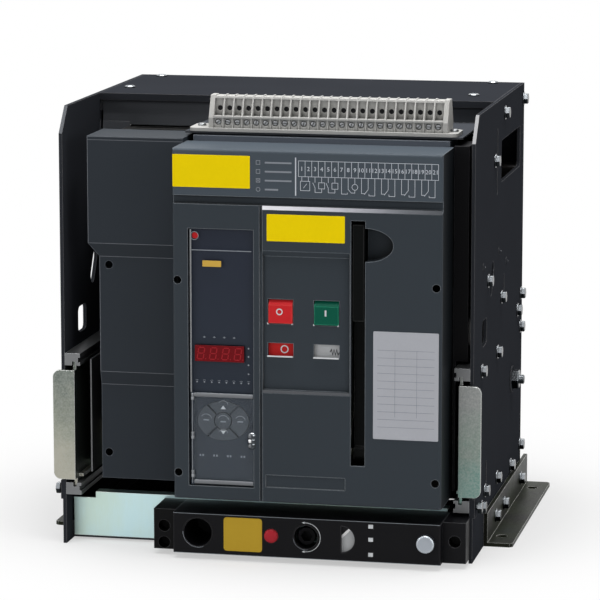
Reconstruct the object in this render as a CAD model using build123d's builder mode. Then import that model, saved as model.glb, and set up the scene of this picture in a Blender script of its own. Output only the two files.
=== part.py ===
from build123d import *
import math
import os

# All sizes are in millimetres. +X is to the right seen from the front, +Y to the rear, +Z up.
# The origin is the middle of the four foot bolts, on the face that the feet stand on.

# Cradle frame
frame_width = 412.0  # over the side plates
frame_height = 436.0
frame_depth = 326.0
side_sheet = 3.5
front_setback = 212.0  # side plates' front edge ahead of the foot bolts' middle
nose_run = 21.4  # slanted top front corner of the side plates
nose_drop = 25.2
sheet = 2.0  # folded sheet parts of the cradle
plinth_drop = 24.0  # terminal plinth under the top plate

# Clearances
slide_gap = 0.3  # between pieces that slide or swing past each other
travel_gap = 1.5  # between the breaker and what it passes when it is drawn out
shaft_gap = 0.05  # radial, round a shaft in its bearing
stem_gap = 0.1  # radial, round a push stem
window_gap = 0.7  # round a button in its window

# Poles and main circuit
pole_count = 4
pole_pitch = 95.0
pole_shift = 10.0  # middle of the row of poles
upper_z = 270.0
lower_z = 140.0
copper = 15.0  # thickness of bars and stabs
bar_width = 60.0
stab_width = 50.0
terminal_reach = 51.0  # rear terminals behind the side plates
terminal_hole = 6.5  # radius
terminal_hole_spacing = 30.0
terminal_hole_edge = 20.0

# Mounting feet
foot_width = 29.0
foot_sheet = 4.0
foot_height = 34.0
foot_end = 30.0  # from the bolt's middle to the foot's end
foot_bolt_inset = 14.0  # from the side plate to the bolt's middle
foot_bolt_half_depth = 110.0
foot_bolt_hole = 5.5  # radius

# Guides and extension rails
guide_depth = 15.5  # from the side plate inwards
guide_height = 12.0
lower_guide_z = 50.0
upper_guide_z = 180.5
guide_end = 46.0  # from the guides' rear end to the plates' rear edge
groove_depth = 4.0
web = 3.0
web_inset = 7.5  # web's outer face from the side plate
rail_end = 2.0  # the rails end this far inside the guides
rail_flange_width = 22.0
rail_flange_low = 66.0
rail_flange_high = 176.0
rail_corner = 7.0
ledge_width = 4.0

# Racking drive
screw_x = 48.4
screw_z = 27.3
screw_radius = 7.0
nut_radius = 12.0
tray_z = 2.0  # underside of the base tray
tray_lift = 0.3
carriage_y = 122.0
carriage_depth = 20.0
lug_spread = 35.0
lug_width = 20.0

# Racking panel
panel_left = -84.2
panel_side = 25.3  # from the panel's right end to the side plate's outer face
panel_low = 5.6
panel_high = 46.0
panel_reach = 36.8  # ahead of the side plates
end_reach = 24.3
end_width = 22.4
end_side = 2.3  # right end block's face from the side plate's outer face
member_y = 21.0  # front face of the cross-member
member_high = 49.0
member_low_end = 42.8
member_step = 28.0  # length of its lower ends
member_flange = 14.0
storage_x = -59.2
storage_radius = 14.0
lock_x = 14.0
lock_radius = 6.9
crank_radius = 11.6
indicator_x = 83.4
indicator_window = 13.2
plunger_x = 166.4
plunger_radius = 8.7
drive_z = 27.0  # height of the storage hole, button, indicator and plunger

# Breaker housing
body_gap_left = 25.0  # from the side plates' inner faces
body_gap_right = 17.5
body_gap_high = 5.5
body_low = 62.0
base_drop = 82.0  # top of the base under the terminal plinth
chute_drop = 10.0  # top of the arc chutes under the terminal plinth
base_front_y = 60.0
base_end = 76.0  # from the base's rear face to the plates' rear edge
base_wall = 15.0
cell_half = 29.0
shoulder_z = 196.0  # above the guides the housing is wider on the right
neutral_inset = 10.4  # the neutral cover is narrower below its upper part
cover_screw = 3.9  # radius of the covers' screw holes

# Front cover
cover_left = -81.0
cover_side = 3.0  # cover's right edge inside the housing's
cover_low = 62.0
cover_drop = 7.0  # under the terminal plinth
cover_reach = 44.0
cover_back = 17.4
wall = 3.0
cover_edge = 2.5
pocket_depth = 4.0
band_drop = 45.0  # under the cover's top
band_height = 8.0
panel_bevel = 4.0
divider_left = 4.6
divider_right = 7.2
pocket_left = 7.2
pocket_right = 92.6
pocket_low = 173.0
pocket_high = 303.0
pocket_top_slope = 5.5
pocket_low_slope = 3.0
slot_left = 93.8
slot_right = 107.6
slot_low = 101.8
slot_high = 340.0
finger_reach = 27.0
finger_z = 316.8
finger_half = 16.1
finger_depth = 14.0
window_width = 25.0
button_window_low = 237.2
button_window_height = 24.1
flag_window_low = 205.3
flag_window_height = 13.2
off_x = 24.4
on_x = 69.4

# Controller
unit_left = -66.0
unit_right = -1.5
unit_low = 75.5
unit_high = 328.0
unit_recess = 4.0
unit_back = 20.0
door_low = 76.5
door_high = 168.0
door_sheet = 1.5
hinge_x = -62.3
hinge_radius = 1.9
hinge_pin = 1.0
keypad_x = -32.3
keypad_z = 139.9
key_reach_x = 25.4
key_reach_z = 19.2
key_centre = 8.0
key_slit = 1.2
key_height = 3.2
key_proud = 1.0
key_travel = 0.6
reset_x = -59.4
reset_z = 321.0
reset_radius = 3.2

# Worked out from the sizes above
front = -front_setback
rear = front + frame_depth
plate_outer = frame_width / 2
bay = plate_outer - side_sheet
foot_length = 2 * (foot_bolt_half_depth + foot_end)
foot_bolt_half_width = plate_outer + foot_bolt_inset
guide_length = frame_depth - guide_end
rail_length = guide_length - rail_end
plinth_low = frame_height - plinth_drop
panel_right = plate_outer - panel_side
end_left = panel_left - end_width
end_right = plate_outer - end_side
body_left = -bay + body_gap_left
body_right = bay - body_gap_right
body_right_high = bay - body_gap_high
base_top = plinth_low - base_drop
chute_top = plinth_low - chute_drop
base_rear_y = frame_depth - base_end
cover_right = body_right - cover_side
cover_high = plinth_low - cover_drop
band_low = cover_high - band_drop
panel_top = band_low - band_height
sides = (("left", -1), ("right", 1))
poles = [pole_shift + (i - (pole_count - 1) / 2) * pole_pitch for i in range(pole_count)]
cover_face = front - cover_reach
pocket_face = cover_face + pocket_depth
web_outer = bay - web_inset
web_inner = web_outer - web


def keep(piece, name):
    """Label a finished piece and write it to its own file."""
    piece.part.label = name
    export_step(piece.part, f"parts/{name}.step")


def facing(y):
    """A plane seen from the front: its sketch axes are X and Z, and it lies at y."""
    return Plane.XZ.offset(-y)


def beside(x):
    """A plane seen from the side: its sketch axes are Y and Z, and it lies at x."""
    return Plane.YZ.offset(x)


def block(x0, x1, y0, y1, z0, z1, mode=Mode.ADD):
    """A box between two limits on each axis, in the part being built."""
    with Locations(((x0 + x1) / 2, (y0 + y1) / 2, (z0 + z1) / 2)):
        Box(abs(x1 - x0), y1 - y0, z1 - z0, mode=mode)


def rect(u0, u1, v0, v1, mode=Mode.ADD):
    """A rectangle between two limits on each axis, in the sketch being drawn."""
    with Locations(((u0 + u1) / 2, (v0 + v1) / 2)):
        Rectangle(abs(u1 - u0), v1 - v0, mode=mode)


def outline(*points, mode=Mode.ADD):
    """A straight-sided closed outline in the sketch being drawn."""
    with BuildLine() as edge:
        Polyline(*points, close=True)
    make_face(edge.line.edges(), mode=mode)


def rod(x, z, radius, y0, y1, mode=Mode.ADD):
    """A round bar or bore along Y, in the part being built."""
    with BuildSketch(facing(y0)) as disc:
        with Locations((x, z)):
            Circle(radius)
    extrude(disc.sketch, amount=y0 - y1, mode=mode)


def cross_rod(y, z, radius, x0, x1, mode=Mode.ADD):
    """A round bar or bore along X, in the part being built."""
    with BuildSketch(beside(x0)) as disc:
        with Locations((y, z)):
            Circle(radius)
    extrude(disc.sketch, amount=x1 - x0, mode=mode)


os.makedirs("parts", exist_ok=True)

# Side plates: a window, slots and a stop tab, the same on both
window_span = (frame_depth - 158, frame_depth - 26)
window_z = (frame_height - 84, frame_height - 42)
stop_tab_depth = 13.0
stop_tab_z = (45.0, 64.0)
for side, sign in sides:
    with BuildPart() as side_plate:
        with BuildSketch(beside(sign * (plate_outer - side_sheet / 2))):
            outline((front, 0), (rear, 0), (rear, frame_height), (front + nose_run, frame_height),
                    (front, frame_height - nose_drop))
            with Locations((front + sum(window_span) / 2, sum(window_z) / 2)):
                RectangleRounded(window_span[1] - window_span[0], window_z[1] - window_z[0], 4,
                                 mode=Mode.SUBTRACT)
            with Locations((front + 141, frame_height - 60)):
                SlotOverall(66, 5, rotation=90, mode=Mode.SUBTRACT)
            with Locations((front + 112, 263)):
                SlotOverall(36, 15, rotation=60, mode=Mode.SUBTRACT)
            with Locations((front + 194, 245)):
                SlotOverall(20, 5, rotation=90, mode=Mode.SUBTRACT)
            with Locations((front + 66, 217)):
                RectangleRounded(30, 26, 6, mode=Mode.SUBTRACT)
            with Locations((front + 85, 73)):
                SlotOverall(22, 6, rotation=90, mode=Mode.SUBTRACT)
        extrude(amount=side_sheet / 2, both=True)
        block(sign * plate_outer, sign * (plate_outer + sheet), front, front + stop_tab_depth, *stop_tab_z)
    keep(side_plate, f"side_plate_{side}")

# Mounting feet: zinc-plated angles outside the side plates
for side, sign in sides:
    with BuildPart() as foot:
        with BuildSketch(facing(-foot_length / 2)):
            outline((sign * plate_outer, 0),
                    (sign * (plate_outer + foot_width), 0),
                    (sign * (plate_outer + foot_width), foot_sheet),
                    (sign * (plate_outer + foot_sheet), foot_sheet),
                    (sign * (plate_outer + foot_sheet), foot_height),
                    (sign * plate_outer, foot_height))
        extrude(amount=-foot_length)
        with BuildSketch(Plane.XY):
            with Locations((sign * foot_bolt_half_width, -foot_bolt_half_depth),
                           (sign * foot_bolt_half_width, foot_bolt_half_depth)):
                Circle(foot_bolt_hole)
        extrude(amount=foot_sheet, mode=Mode.SUBTRACT)
        outer_corners = foot.edges().filter_by(Axis.Z).group_by(Axis.X)[0 if sign < 0 else -1]
        chamfer(outer_corners, length=3)
    keep(foot, f"foot_{side}")

# Hexagon bolt heads on the outer face of each side plate
near_rear = frame_depth - 6
near_top = frame_height - 16
plate_bolts = [(189, near_top), (near_rear, near_top), (125, near_top - 41), (86, 265), (176, 234),
               (near_rear - 5, 215), (near_rear - 29, 201), (near_rear - 8, 180), (152, 182),
               (50, 181.5), (near_rear - 2, 52), (155, 52), (251, 44), (76, 56), (55, 44)]
foot_bolt_rows = [(183, 19), (127, 19), (300, 19)]
rivets = [(158, 284), (208, 266), (55, 283.5)]
top_screws = [(-bay + 17.5, 195), (-bay + 22.5, near_rear - 12), (bay - 28.5, 190),
              (bay - 27.5, near_rear - 7)]
bolt_flats = 5.2
bolt_head = 4.2
rivet_radius = 4.0
rivet_head = 1.8
stop_bolt_y = front + 8.5
stop_bolt_neck = 2.2
pivot_nut_y = rear - 72
pivot_nut_z = 134.5
nut_washer = 1.6
nut_washer_radius = 14.0
nut_flats = 9.0
nut_height = 7.0
stud_radius = 5.0
stud_end = 5.0  # past the nut
top_screw_radius = 5.5
top_screw_head = 2.2
with BuildPart() as frame_bolts:
    for sign in (-1, 1):
        for bolts, seat in ((plate_bolts, plate_outer), (foot_bolt_rows, plate_outer + foot_sheet)):
            with BuildSketch(beside(sign * seat)):
                with Locations([(front + y, z) for y, z in bolts]):
                    RegularPolygon(bolt_flats, 6, major_radius=False)
            extrude(amount=sign * bolt_head)
        with BuildSketch(beside(sign * plate_outer)):
            with Locations([(front + y, z) for y, z in rivets]):
                Circle(rivet_radius)
        extrude(amount=sign * rivet_head)
        stop_seat = plate_outer + sheet
        with BuildSketch(beside(sign * stop_seat)):
            with Locations((stop_bolt_y, sum(stop_tab_z) / 2)):
                Circle(bolt_flats / 2)
        extrude(amount=sign * stop_bolt_neck)
        with BuildSketch(beside(sign * (stop_seat + stop_bolt_neck))):
            with Locations((stop_bolt_y, sum(stop_tab_z) / 2)):
                RegularPolygon(bolt_flats, 6, major_radius=False)
        extrude(amount=sign * bolt_head)
        with BuildSketch(beside(sign * plate_outer)):
            with Locations((pivot_nut_y, pivot_nut_z)):
                Circle(nut_washer_radius)
        extrude(amount=sign * nut_washer)
        with BuildSketch(beside(sign * (plate_outer + nut_washer))):
            with Locations((pivot_nut_y, pivot_nut_z)):
                RegularPolygon(nut_flats, 6, major_radius=False)
        extrude(amount=sign * nut_height)
        with BuildSketch(beside(sign * (plate_outer + nut_washer + nut_height))):
            with Locations((pivot_nut_y, pivot_nut_z)):
                Circle(stud_radius)
        extrude(amount=sign * stud_end)
    with BuildSketch(Plane.XY.offset(frame_height)):
        with Locations([(x, front + y) for x, y in top_screws]):
            Circle(top_screw_radius)
    extrude(amount=top_screw_head)
    chamfer(frame_bolts.faces().sort_by(Axis.Z)[-1].edges(), length=0.6)
keep(frame_bolts, "frame_bolts")

# Top plate: folded down at the front and along both sides
top_front_y = 140.0
top_lip = 7.0
top_front = front + top_front_y
with BuildPart() as top_plate:
    with BuildSketch(beside(-bay)):
        outline((top_front, frame_height - top_lip), (top_front + sheet, frame_height - top_lip),
                (top_front + sheet, frame_height - sheet), (rear, frame_height - sheet),
                (rear, frame_height), (top_front, frame_height))
    extrude(amount=2 * bay)
    for sign in (-1, 1):
        block(sign * (bay - sheet), sign * bay, top_front + sheet, rear - sheet,
              frame_height - 18, frame_height - sheet)
keep(top_plate, "top_plate")

# Upper panel: the dark wall under the top plate's lip, with a leg beside the arc chutes
top_panel_y = top_front + 6
with BuildPart() as upper_panel:
    block(-bay + sheet, bay - sheet, top_panel_y, top_panel_y + sheet, chute_top + travel_gap,
          frame_height - sheet)
    block(-bay + sheet, body_left - travel_gap, top_panel_y, top_panel_y + sheet, window_z[0], plinth_low)
keep(upper_panel, "upper_panel")

# Contact base: moulded board with a pocket for each finger cluster and ribs between the poles
contact_base_depth = 40.0
contact_base_low = 24.0
contact_base_high = plinth_low - 60
pocket_reach = 34.0
pocket_half_width = 31.0
pocket_half_height = 22.0
pole_rib = 4.0
pole_rib_reach = 16.0
contact_front = rear - contact_base_depth
with BuildPart() as contact_base:
    block(-bay, bay, contact_front, rear, contact_base_low, contact_base_high)
    for x in poles:
        for z in (lower_z, upper_z):
            block(x - pocket_half_width, x + pocket_half_width, contact_front,
                  contact_front + pocket_reach, z - pocket_half_height, z + pocket_half_height,
                  mode=Mode.SUBTRACT)
            block(x - bar_width / 2, x + bar_width / 2, contact_front, rear,
                  z - copper / 2, z + copper / 2, mode=Mode.SUBTRACT)
    for i in range(pole_count + 1):
        rib_x = poles[0] + (i - 0.5) * pole_pitch
        block(rib_x - pole_rib / 2, rib_x + pole_rib / 2, rear, rear + pole_rib_reach,
              lower_z - 80, upper_z + 60)
keep(contact_base, "contact_base")

# Rear panel: louvred sheet above the contact base
with BuildPart() as rear_panel:
    block(-bay + sheet, bay - sheet, rear - sheet, rear, contact_base_high, frame_height - sheet)
    with BuildSketch(facing(rear - sheet)):
        with Locations((0, (contact_base_high + frame_height) / 2)):
            with GridLocations(48, 16, 7, 3):
                SlotOverall(34, 5)
    extrude(amount=-sheet, mode=Mode.SUBTRACT)
keep(rear_panel, "rear_panel")

# Base tray: folded sheet between the side plates
tray_top = tray_z + sheet
tray_flange = 16.0
with BuildPart() as base_tray:
    with BuildSketch(facing(front + member_y)):
        outline((-bay, tray_z), (bay, tray_z), (bay, tray_z + tray_flange),
                (bay - sheet, tray_z + tray_flange), (bay - sheet, tray_top),
                (-bay + sheet, tray_top), (-bay + sheet, tray_z + tray_flange),
                (-bay, tray_z + tray_flange))
    extrude(amount=front + member_y - (rear - sheet))
    with BuildSketch(Plane.XY.offset(tray_z)):
        with Locations((0, rear - 91)):
            with GridLocations(80, 40, 4, 2):
                SlotOverall(60, 14)
    extrude(amount=sheet, mode=Mode.SUBTRACT)
keep(base_tray, "base_tray")

# Front cross-member: zinc-plated channel, lower at its two ends
member_front = front + member_y
stem_radius = 3.0
plunger_stem = 5.0
bush_radius = 10.0
with BuildPart() as cross_member:
    with BuildSketch(beside(-bay + sheet)):
        outline((member_front, tray_top), (member_front + member_flange, tray_top),
                (member_front + member_flange, tray_top + sheet),
                (member_front + sheet, tray_top + sheet),
                (member_front + sheet, member_high - sheet),
                (member_front + member_flange, member_high - sheet),
                (member_front + member_flange, member_high), (member_front, member_high))
    extrude(amount=2 * (bay - sheet))
    for sign in (-1, 1):
        block(sign * (plate_outer - member_step), sign * bay, member_front,
              member_front + member_flange, member_low_end, member_high, mode=Mode.SUBTRACT)
    for x, z, radius in ((screw_x, screw_z, bush_radius), (lock_x, drive_z, stem_radius + stem_gap),
                         (indicator_x, drive_z, stem_radius + shaft_gap),
                         (plunger_x, drive_z, plunger_stem + stem_gap)):
        rod(x, z, radius, member_front, member_front + sheet, mode=Mode.SUBTRACT)
keep(cross_member, "cross_member")

# Guides: aluminium extrusions, with a groove towards the rail's web and a notch inwards
guide_inner = bay - guide_depth
for side, sign in sides:
    with BuildPart() as guides:
        for wall_z, groove_z, up in ((lower_guide_z, lower_guide_z + guide_height, 1),
                                     (upper_guide_z + guide_height, upper_guide_z, -1)):
            with BuildSketch(facing(front)):
                outline((sign * bay, wall_z), (sign * bay, groove_z),
                        (sign * (web_outer + slide_gap), groove_z),
                        (sign * (web_outer + slide_gap), groove_z - up * groove_depth),
                        (sign * (web_inner - slide_gap), groove_z - up * groove_depth),
                        (sign * (web_inner - slide_gap), groove_z),
                        (sign * guide_inner, groove_z), (sign * guide_inner, groove_z - up * 3),
                        (sign * (guide_inner + 2), groove_z - up * 3),
                        (sign * (guide_inner + 2), wall_z + up * 4), (sign * guide_inner, wall_z + up * 4),
                        (sign * guide_inner, wall_z))
            extrude(amount=-guide_length)
    keep(guides, f"guides_{side}")

# Extension rails: a web that runs in both guides, an outward flange in front, a ledge inside
web_low = lower_guide_z + guide_height - groove_depth + slide_gap
web_high = upper_guide_z + groove_depth - slide_gap
flange_front = front - web - 0.4
web_setback = 4.0  # the web starts this far inside the guides
for side, sign in sides:
    with BuildPart() as rail:
        block(sign * web_inner, sign * web_outer, front + web_setback, front + rail_length,
              web_low, web_high)
        with BuildSketch(facing(flange_front)) as flange:
            rect(sign * web_inner, sign * (web_inner + rail_flange_width),
                 rail_flange_low, rail_flange_high)
            fillet(flange.vertices().group_by(Axis.X)[0 if sign < 0 else -1], rail_corner)
        extrude(amount=-web)
        block(sign * web_inner, sign * web_outer, flange_front, front + web_setback,
              rail_flange_low, rail_flange_high)
        block(sign * (web_inner - ledge_width), sign * web_inner, front + 12, front + rail_length,
              rail_flange_low, rail_flange_low + web)
        with BuildSketch(beside(sign * (web_inner + web_outer) / 2)):
            with Locations((front + 70, 125), (front + 150, 125)):
                SlotOverall(40, 18, rotation=90)
        extrude(amount=web, both=True, mode=Mode.SUBTRACT)
    keep(rail, f"rail_{side}")

# Rear terminals: flat copper bars, two bolt holes in each
bar_front = contact_front + 8
bar_rear = rear + terminal_reach
with BuildPart() as rear_terminals:
    for x in poles:
        for z in (lower_z, upper_z):
            block(x - bar_width / 2, x + bar_width / 2, bar_front, bar_rear,
                  z - copper / 2, z + copper / 2)
            with BuildSketch(Plane.XY.offset(z - copper / 2)):
                with Locations((x, bar_rear - terminal_hole_edge)):
                    with GridLocations(terminal_hole_spacing, 0, 2, 1):
                        Circle(terminal_hole)
            extrude(amount=copper, mode=Mode.SUBTRACT)
    chamfer(rear_terminals.edges().filter_by(Axis.X).group_by(Axis.Y)[-1], length=1.5)
keep(rear_terminals, "rear_terminals")

# Contact fingers: four above and four below each bar, with a flat spring across them
finger_count = 4
finger_pitch = 12.5
finger_width = 9.0
finger_front = contact_front - 24
finger_rear = contact_front + 32
with BuildPart() as contact_fingers:
    for x in poles:
        for z in (lower_z, upper_z):
            for up in (-1, 1):
                inner = z + up * copper / 2
                open_inner = inner + up * slide_gap
                with BuildSketch(beside(x - finger_width / 2)):
                    outline((finger_front, open_inner + up * 4), (finger_front + 5, open_inner),
                            (finger_front + 16, open_inner), (finger_front + 21, inner + up * 4),
                            (finger_rear - 20, inner + up * 4), (finger_rear - 16, inner),
                            (finger_rear, inner), (finger_rear, inner + up * 9),
                            (finger_rear - 14, inner + up * 12), (finger_front + 12, inner + up * 12),
                            (finger_front, inner + up * 8))
                for i in range(finger_count):
                    shift = (i - (finger_count - 1) / 2) * finger_pitch
                    extrude(to_extrude=contact_fingers.pending_faces[0].moved(Location((shift, 0, 0))),
                            amount=finger_width)
                contact_fingers.pending_faces.clear()
                spring_z = sorted((inner + up * 12, inner + up * 13.5))
                block(x - stab_width / 2, x + stab_width / 2, finger_front + 20, finger_rear - 22,
                      *spring_z)
keep(contact_fingers, "contact_fingers")

# Shutter guides and the two safety shutters
shutter_y = contact_front - 31
shutter_sheet = 3.0
shutter_travel = 40.0
shutter_inner = bay - 21.5
shutter_outer = bay - 15.5
shutter_edge = bay - 17.1
shutter_guide_low = lower_z - 80
shutter_guide_high = upper_z + 75
with BuildPart() as shutter_guides:
    for sign in (-1, 1):
        block(sign * shutter_inner, sign * shutter_outer, shutter_y - 2.5, contact_front,
              shutter_guide_low, shutter_guide_high)
        block(sign * shutter_inner, sign * (shutter_edge + slide_gap), shutter_y - slide_gap,
              shutter_y + shutter_sheet + slide_gap, shutter_guide_low, shutter_guide_high,
              mode=Mode.SUBTRACT)
keep(shutter_guides, "shutter_guides")

stab_half = stab_width / 2
shutter_clear = 2.0
window_near = copper / 2 + 1.5
window_far = copper / 2 + 8.0
for name, z, way in (("shutter_lower", lower_z, -1), ("shutter_upper", upper_z, 1)):
    z_limits = sorted((z + way * (window_near + 9), z - way * (window_far + shutter_travel)))
    window_limits = sorted((z + way * window_near, z - way * window_far))
    with BuildPart() as shutter:
        with BuildSketch(facing(shutter_y)):
            rect(-shutter_edge, shutter_edge, *z_limits)
            for x in poles:
                rect(x - stab_half - shutter_clear, x + stab_half + shutter_clear, *window_limits,
                     mode=Mode.SUBTRACT)
        extrude(amount=-shutter_sheet)
    keep(shutter, name)

# Terminal plinth: bracket from the upper panel forward, over the breaker
plinth_left = -84.0
plinth_right = bay - 12.5
plinth_front = front + 22
with BuildPart() as terminal_plinth:
    with BuildSketch(beside(plinth_left)):
        outline((plinth_front, plinth_low), (top_panel_y, plinth_low), (top_panel_y, plinth_low + 16),
                (top_panel_y - sheet, plinth_low + 16), (top_panel_y - sheet, plinth_low + sheet),
                (plinth_front, plinth_low + sheet))
    extrude(amount=plinth_right - plinth_left)
keep(terminal_plinth, "terminal_plinth")

# Terminal block: a comb of numbered ways, with an ear at each end
way_count = 24
way_pitch = 9.43
block_left = -61.0
block_cheek = 4.8
block_right = block_left + way_count * way_pitch + 2 * block_cheek
ear_left = -80.0
ear_right = 185.0
seat_z = plinth_low + sheet
block_top = seat_z + 34.5
with BuildPart() as terminal_block:
    with BuildSketch(beside(block_left)):
        outline((front + 24, seat_z + 3.5), (front + 24, seat_z + 13), (front + 34, block_top),
                (front + 48, block_top), (front + 56, seat_z + 13), (front + 56, seat_z + 3.5))
    extrude(amount=block_right - block_left)
    with BuildSketch(Plane.XY.offset(seat_z)) as lip:
        rect(ear_left, ear_right, front + 20, front + 58)
        fillet(lip.vertices(), 6)
    extrude(amount=3.5)
    for i in range(way_count):
        way_x = block_left + block_cheek + (i + 0.5) * way_pitch
        block(way_x - 3.9, way_x + 3.9, front + 20, front + 38, seat_z + 15.5, block_top - 2,
              mode=Mode.SUBTRACT)
keep(terminal_block, "terminal_block")

# Racking panel: moulded box with the operating holes in its front
panel_front = front - panel_reach
screw_head_front = panel_front + 5
tube_wall = 2.0
crank_collar = 9.0  # depth of the round guide behind the crank hole
with BuildPart() as racking_panel:
    block(panel_left, panel_right, panel_front, member_front, panel_low, panel_high)
    front_edges = racking_panel.faces().sort_by(Axis.Y)[0].edges()
    fillet(front_edges, 1.5)
    block(panel_left + wall, panel_right - wall, panel_front + wall, member_front,
          panel_low + wall, panel_high - wall, mode=Mode.SUBTRACT)
    rod(storage_x, drive_z, storage_radius + tube_wall, panel_front + wall, member_front - slide_gap)
    rod(storage_x, drive_z, storage_radius, panel_front, member_front, mode=Mode.SUBTRACT)
    rod(screw_x, screw_z, crank_radius + tube_wall, panel_front + wall, panel_front + crank_collar)
    rod(screw_x, screw_z, crank_radius, panel_front, panel_front + crank_collar, mode=Mode.SUBTRACT)
    rod(lock_x, drive_z, lock_radius + stem_gap * 4, panel_front, panel_front + wall, mode=Mode.SUBTRACT)
    rod(plunger_x, drive_z, plunger_radius + slide_gap, panel_front, panel_front + wall,
        mode=Mode.SUBTRACT)
    with BuildSketch(facing(panel_front)):
        with Locations((indicator_x, drive_z)):
            Circle(indicator_window)
        rect(indicator_x - 2 * indicator_window, indicator_x, drive_z - indicator_window,
             drive_z + indicator_window, mode=Mode.SUBTRACT)
    extrude(amount=-wall, mode=Mode.SUBTRACT)
keep(racking_panel, "racking_panel")

# End blocks beside the racking panel; the right one steps round the side plate's edge
end_front = front - end_reach
end_hole = 5.8  # radius
end_hole_depth = 14.0
end_holes_z = (12.3, 29.0)
with BuildPart() as racking_end_left:
    block(end_left, panel_left, end_front, member_front, panel_low, panel_high)
    for z in end_holes_z:
        rod(end_left + 10.4, z, end_hole, end_front, end_front + end_hole_depth, mode=Mode.SUBTRACT)
keep(racking_end_left, "racking_end_left")

with BuildPart() as racking_end_right:
    with BuildSketch(Plane.XY.offset(panel_low)):
        outline((panel_right, end_front), (end_right, end_front), (end_right, front - slide_gap),
                (bay, front - slide_gap), (bay, member_front), (panel_right, member_front))
    extrude(amount=panel_high - panel_low)
    rod(end_right - 11, drive_z, end_hole, end_front, end_front + end_hole_depth, mode=Mode.SUBTRACT)
keep(racking_end_right, "racking_end_right")

# Racking screw with a hexagon socket, its front bush and rear bearing
screw_rear = rear - 121
with BuildPart() as racking_screw:
    rod(screw_x, screw_z, screw_radius, screw_head_front + 8, screw_rear)
    rod(screw_x, screw_z, screw_radius + 1.5, screw_head_front, screw_head_front + 14)
    rod(screw_x, screw_z, bush_radius, member_front + 3 + slide_gap, member_front + 9)
    with BuildSketch(facing(screw_head_front)):
        with Locations((screw_x, screw_z)):
            RegularPolygon(5, 6, major_radius=False)
    extrude(amount=-10, mode=Mode.SUBTRACT)
keep(racking_screw, "racking_screw")

with BuildPart() as screw_bearings:
    rod(screw_x, screw_z, bush_radius, member_front - 3, member_front + 3)
    rod(screw_x, screw_z, bush_radius + 3, member_front - 3, member_front)
    with BuildSketch(facing(screw_rear - 10)) as bearing_face:
        rect(screw_x - 18, screw_x + 18, tray_top, screw_z + 15)
        fillet(bearing_face.vertices().group_by(Axis.Y)[-1], 10)
    extrude(amount=-12)
    rod(screw_x, screw_z, screw_radius + shaft_gap, member_front - 3, screw_rear + 2,
        mode=Mode.SUBTRACT)
keep(screw_bearings, "screw_bearings")

# Racking carriage: the bar that the nut drives, with two dogs behind the breaker's lugs
carriage_front = front + carriage_y
dog_top = body_low - 2
with BuildPart() as carriage_bar:
    with BuildSketch(facing(carriage_front)):
        rect(screw_x - 150, screw_x + 110, tray_top + tray_lift, tray_top + 18)
        with Locations((screw_x, screw_z)):
            Circle(nut_radius + 6)
        for way in (-1, 1):
            dog_x = screw_x + way * lug_spread
            rect(dog_x - lug_width / 2, dog_x + lug_width / 2, tray_top + 10, dog_top)
        with Locations((screw_x, screw_z)):
            Circle(nut_radius, mode=Mode.SUBTRACT)
        rect(-bay, bay, tray_z - 20, tray_top + tray_lift, mode=Mode.SUBTRACT)
    extrude(amount=-carriage_depth)
keep(carriage_bar, "carriage_bar")

with BuildPart() as carriage_nut:
    rod(screw_x, screw_z, nut_radius, carriage_front - 2, carriage_front + carriage_depth)
    rod(screw_x, screw_z, nut_radius + 4, carriage_front + carriage_depth,
        carriage_front + carriage_depth + 5)
    rod(screw_x, screw_z, screw_radius + shaft_gap, carriage_front - 2,
        carriage_front + carriage_depth + 5, mode=Mode.SUBTRACT)
keep(carriage_nut, "carriage_nut")

# Position indicator, lock release button and padlock plunger
stem_end = member_front + sheet + 3
behind_panel = panel_front + wall + slide_gap
with BuildPart() as position_indicator:
    rod(indicator_x, drive_z, indicator_window + 2, behind_panel, behind_panel + 2)
    rod(indicator_x, drive_z, stem_radius, behind_panel + 2, stem_end)
keep(position_indicator, "position_indicator")

with BuildPart() as lock_release_button:
    rod(lock_x, drive_z, lock_radius, panel_front - 1.7, behind_panel)
    fillet(lock_release_button.faces().sort_by(Axis.Y)[0].edges(), 1.2)
    rod(lock_x, drive_z, lock_radius + 2, behind_panel, behind_panel + 1.5)
    rod(lock_x, drive_z, stem_radius, behind_panel + 1.5, stem_end)
keep(lock_release_button, "lock_release_button")

with BuildPart() as padlock_plunger:
    rod(plunger_x, drive_z, plunger_radius, panel_front - 5.2, panel_front + 2)
    fillet(padlock_plunger.faces().sort_by(Axis.Y)[0].edges(), 2)
    rod(plunger_x, drive_z, plunger_stem, panel_front + 2, stem_end + 14)
keep(padlock_plunger, "padlock_plunger")

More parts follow.
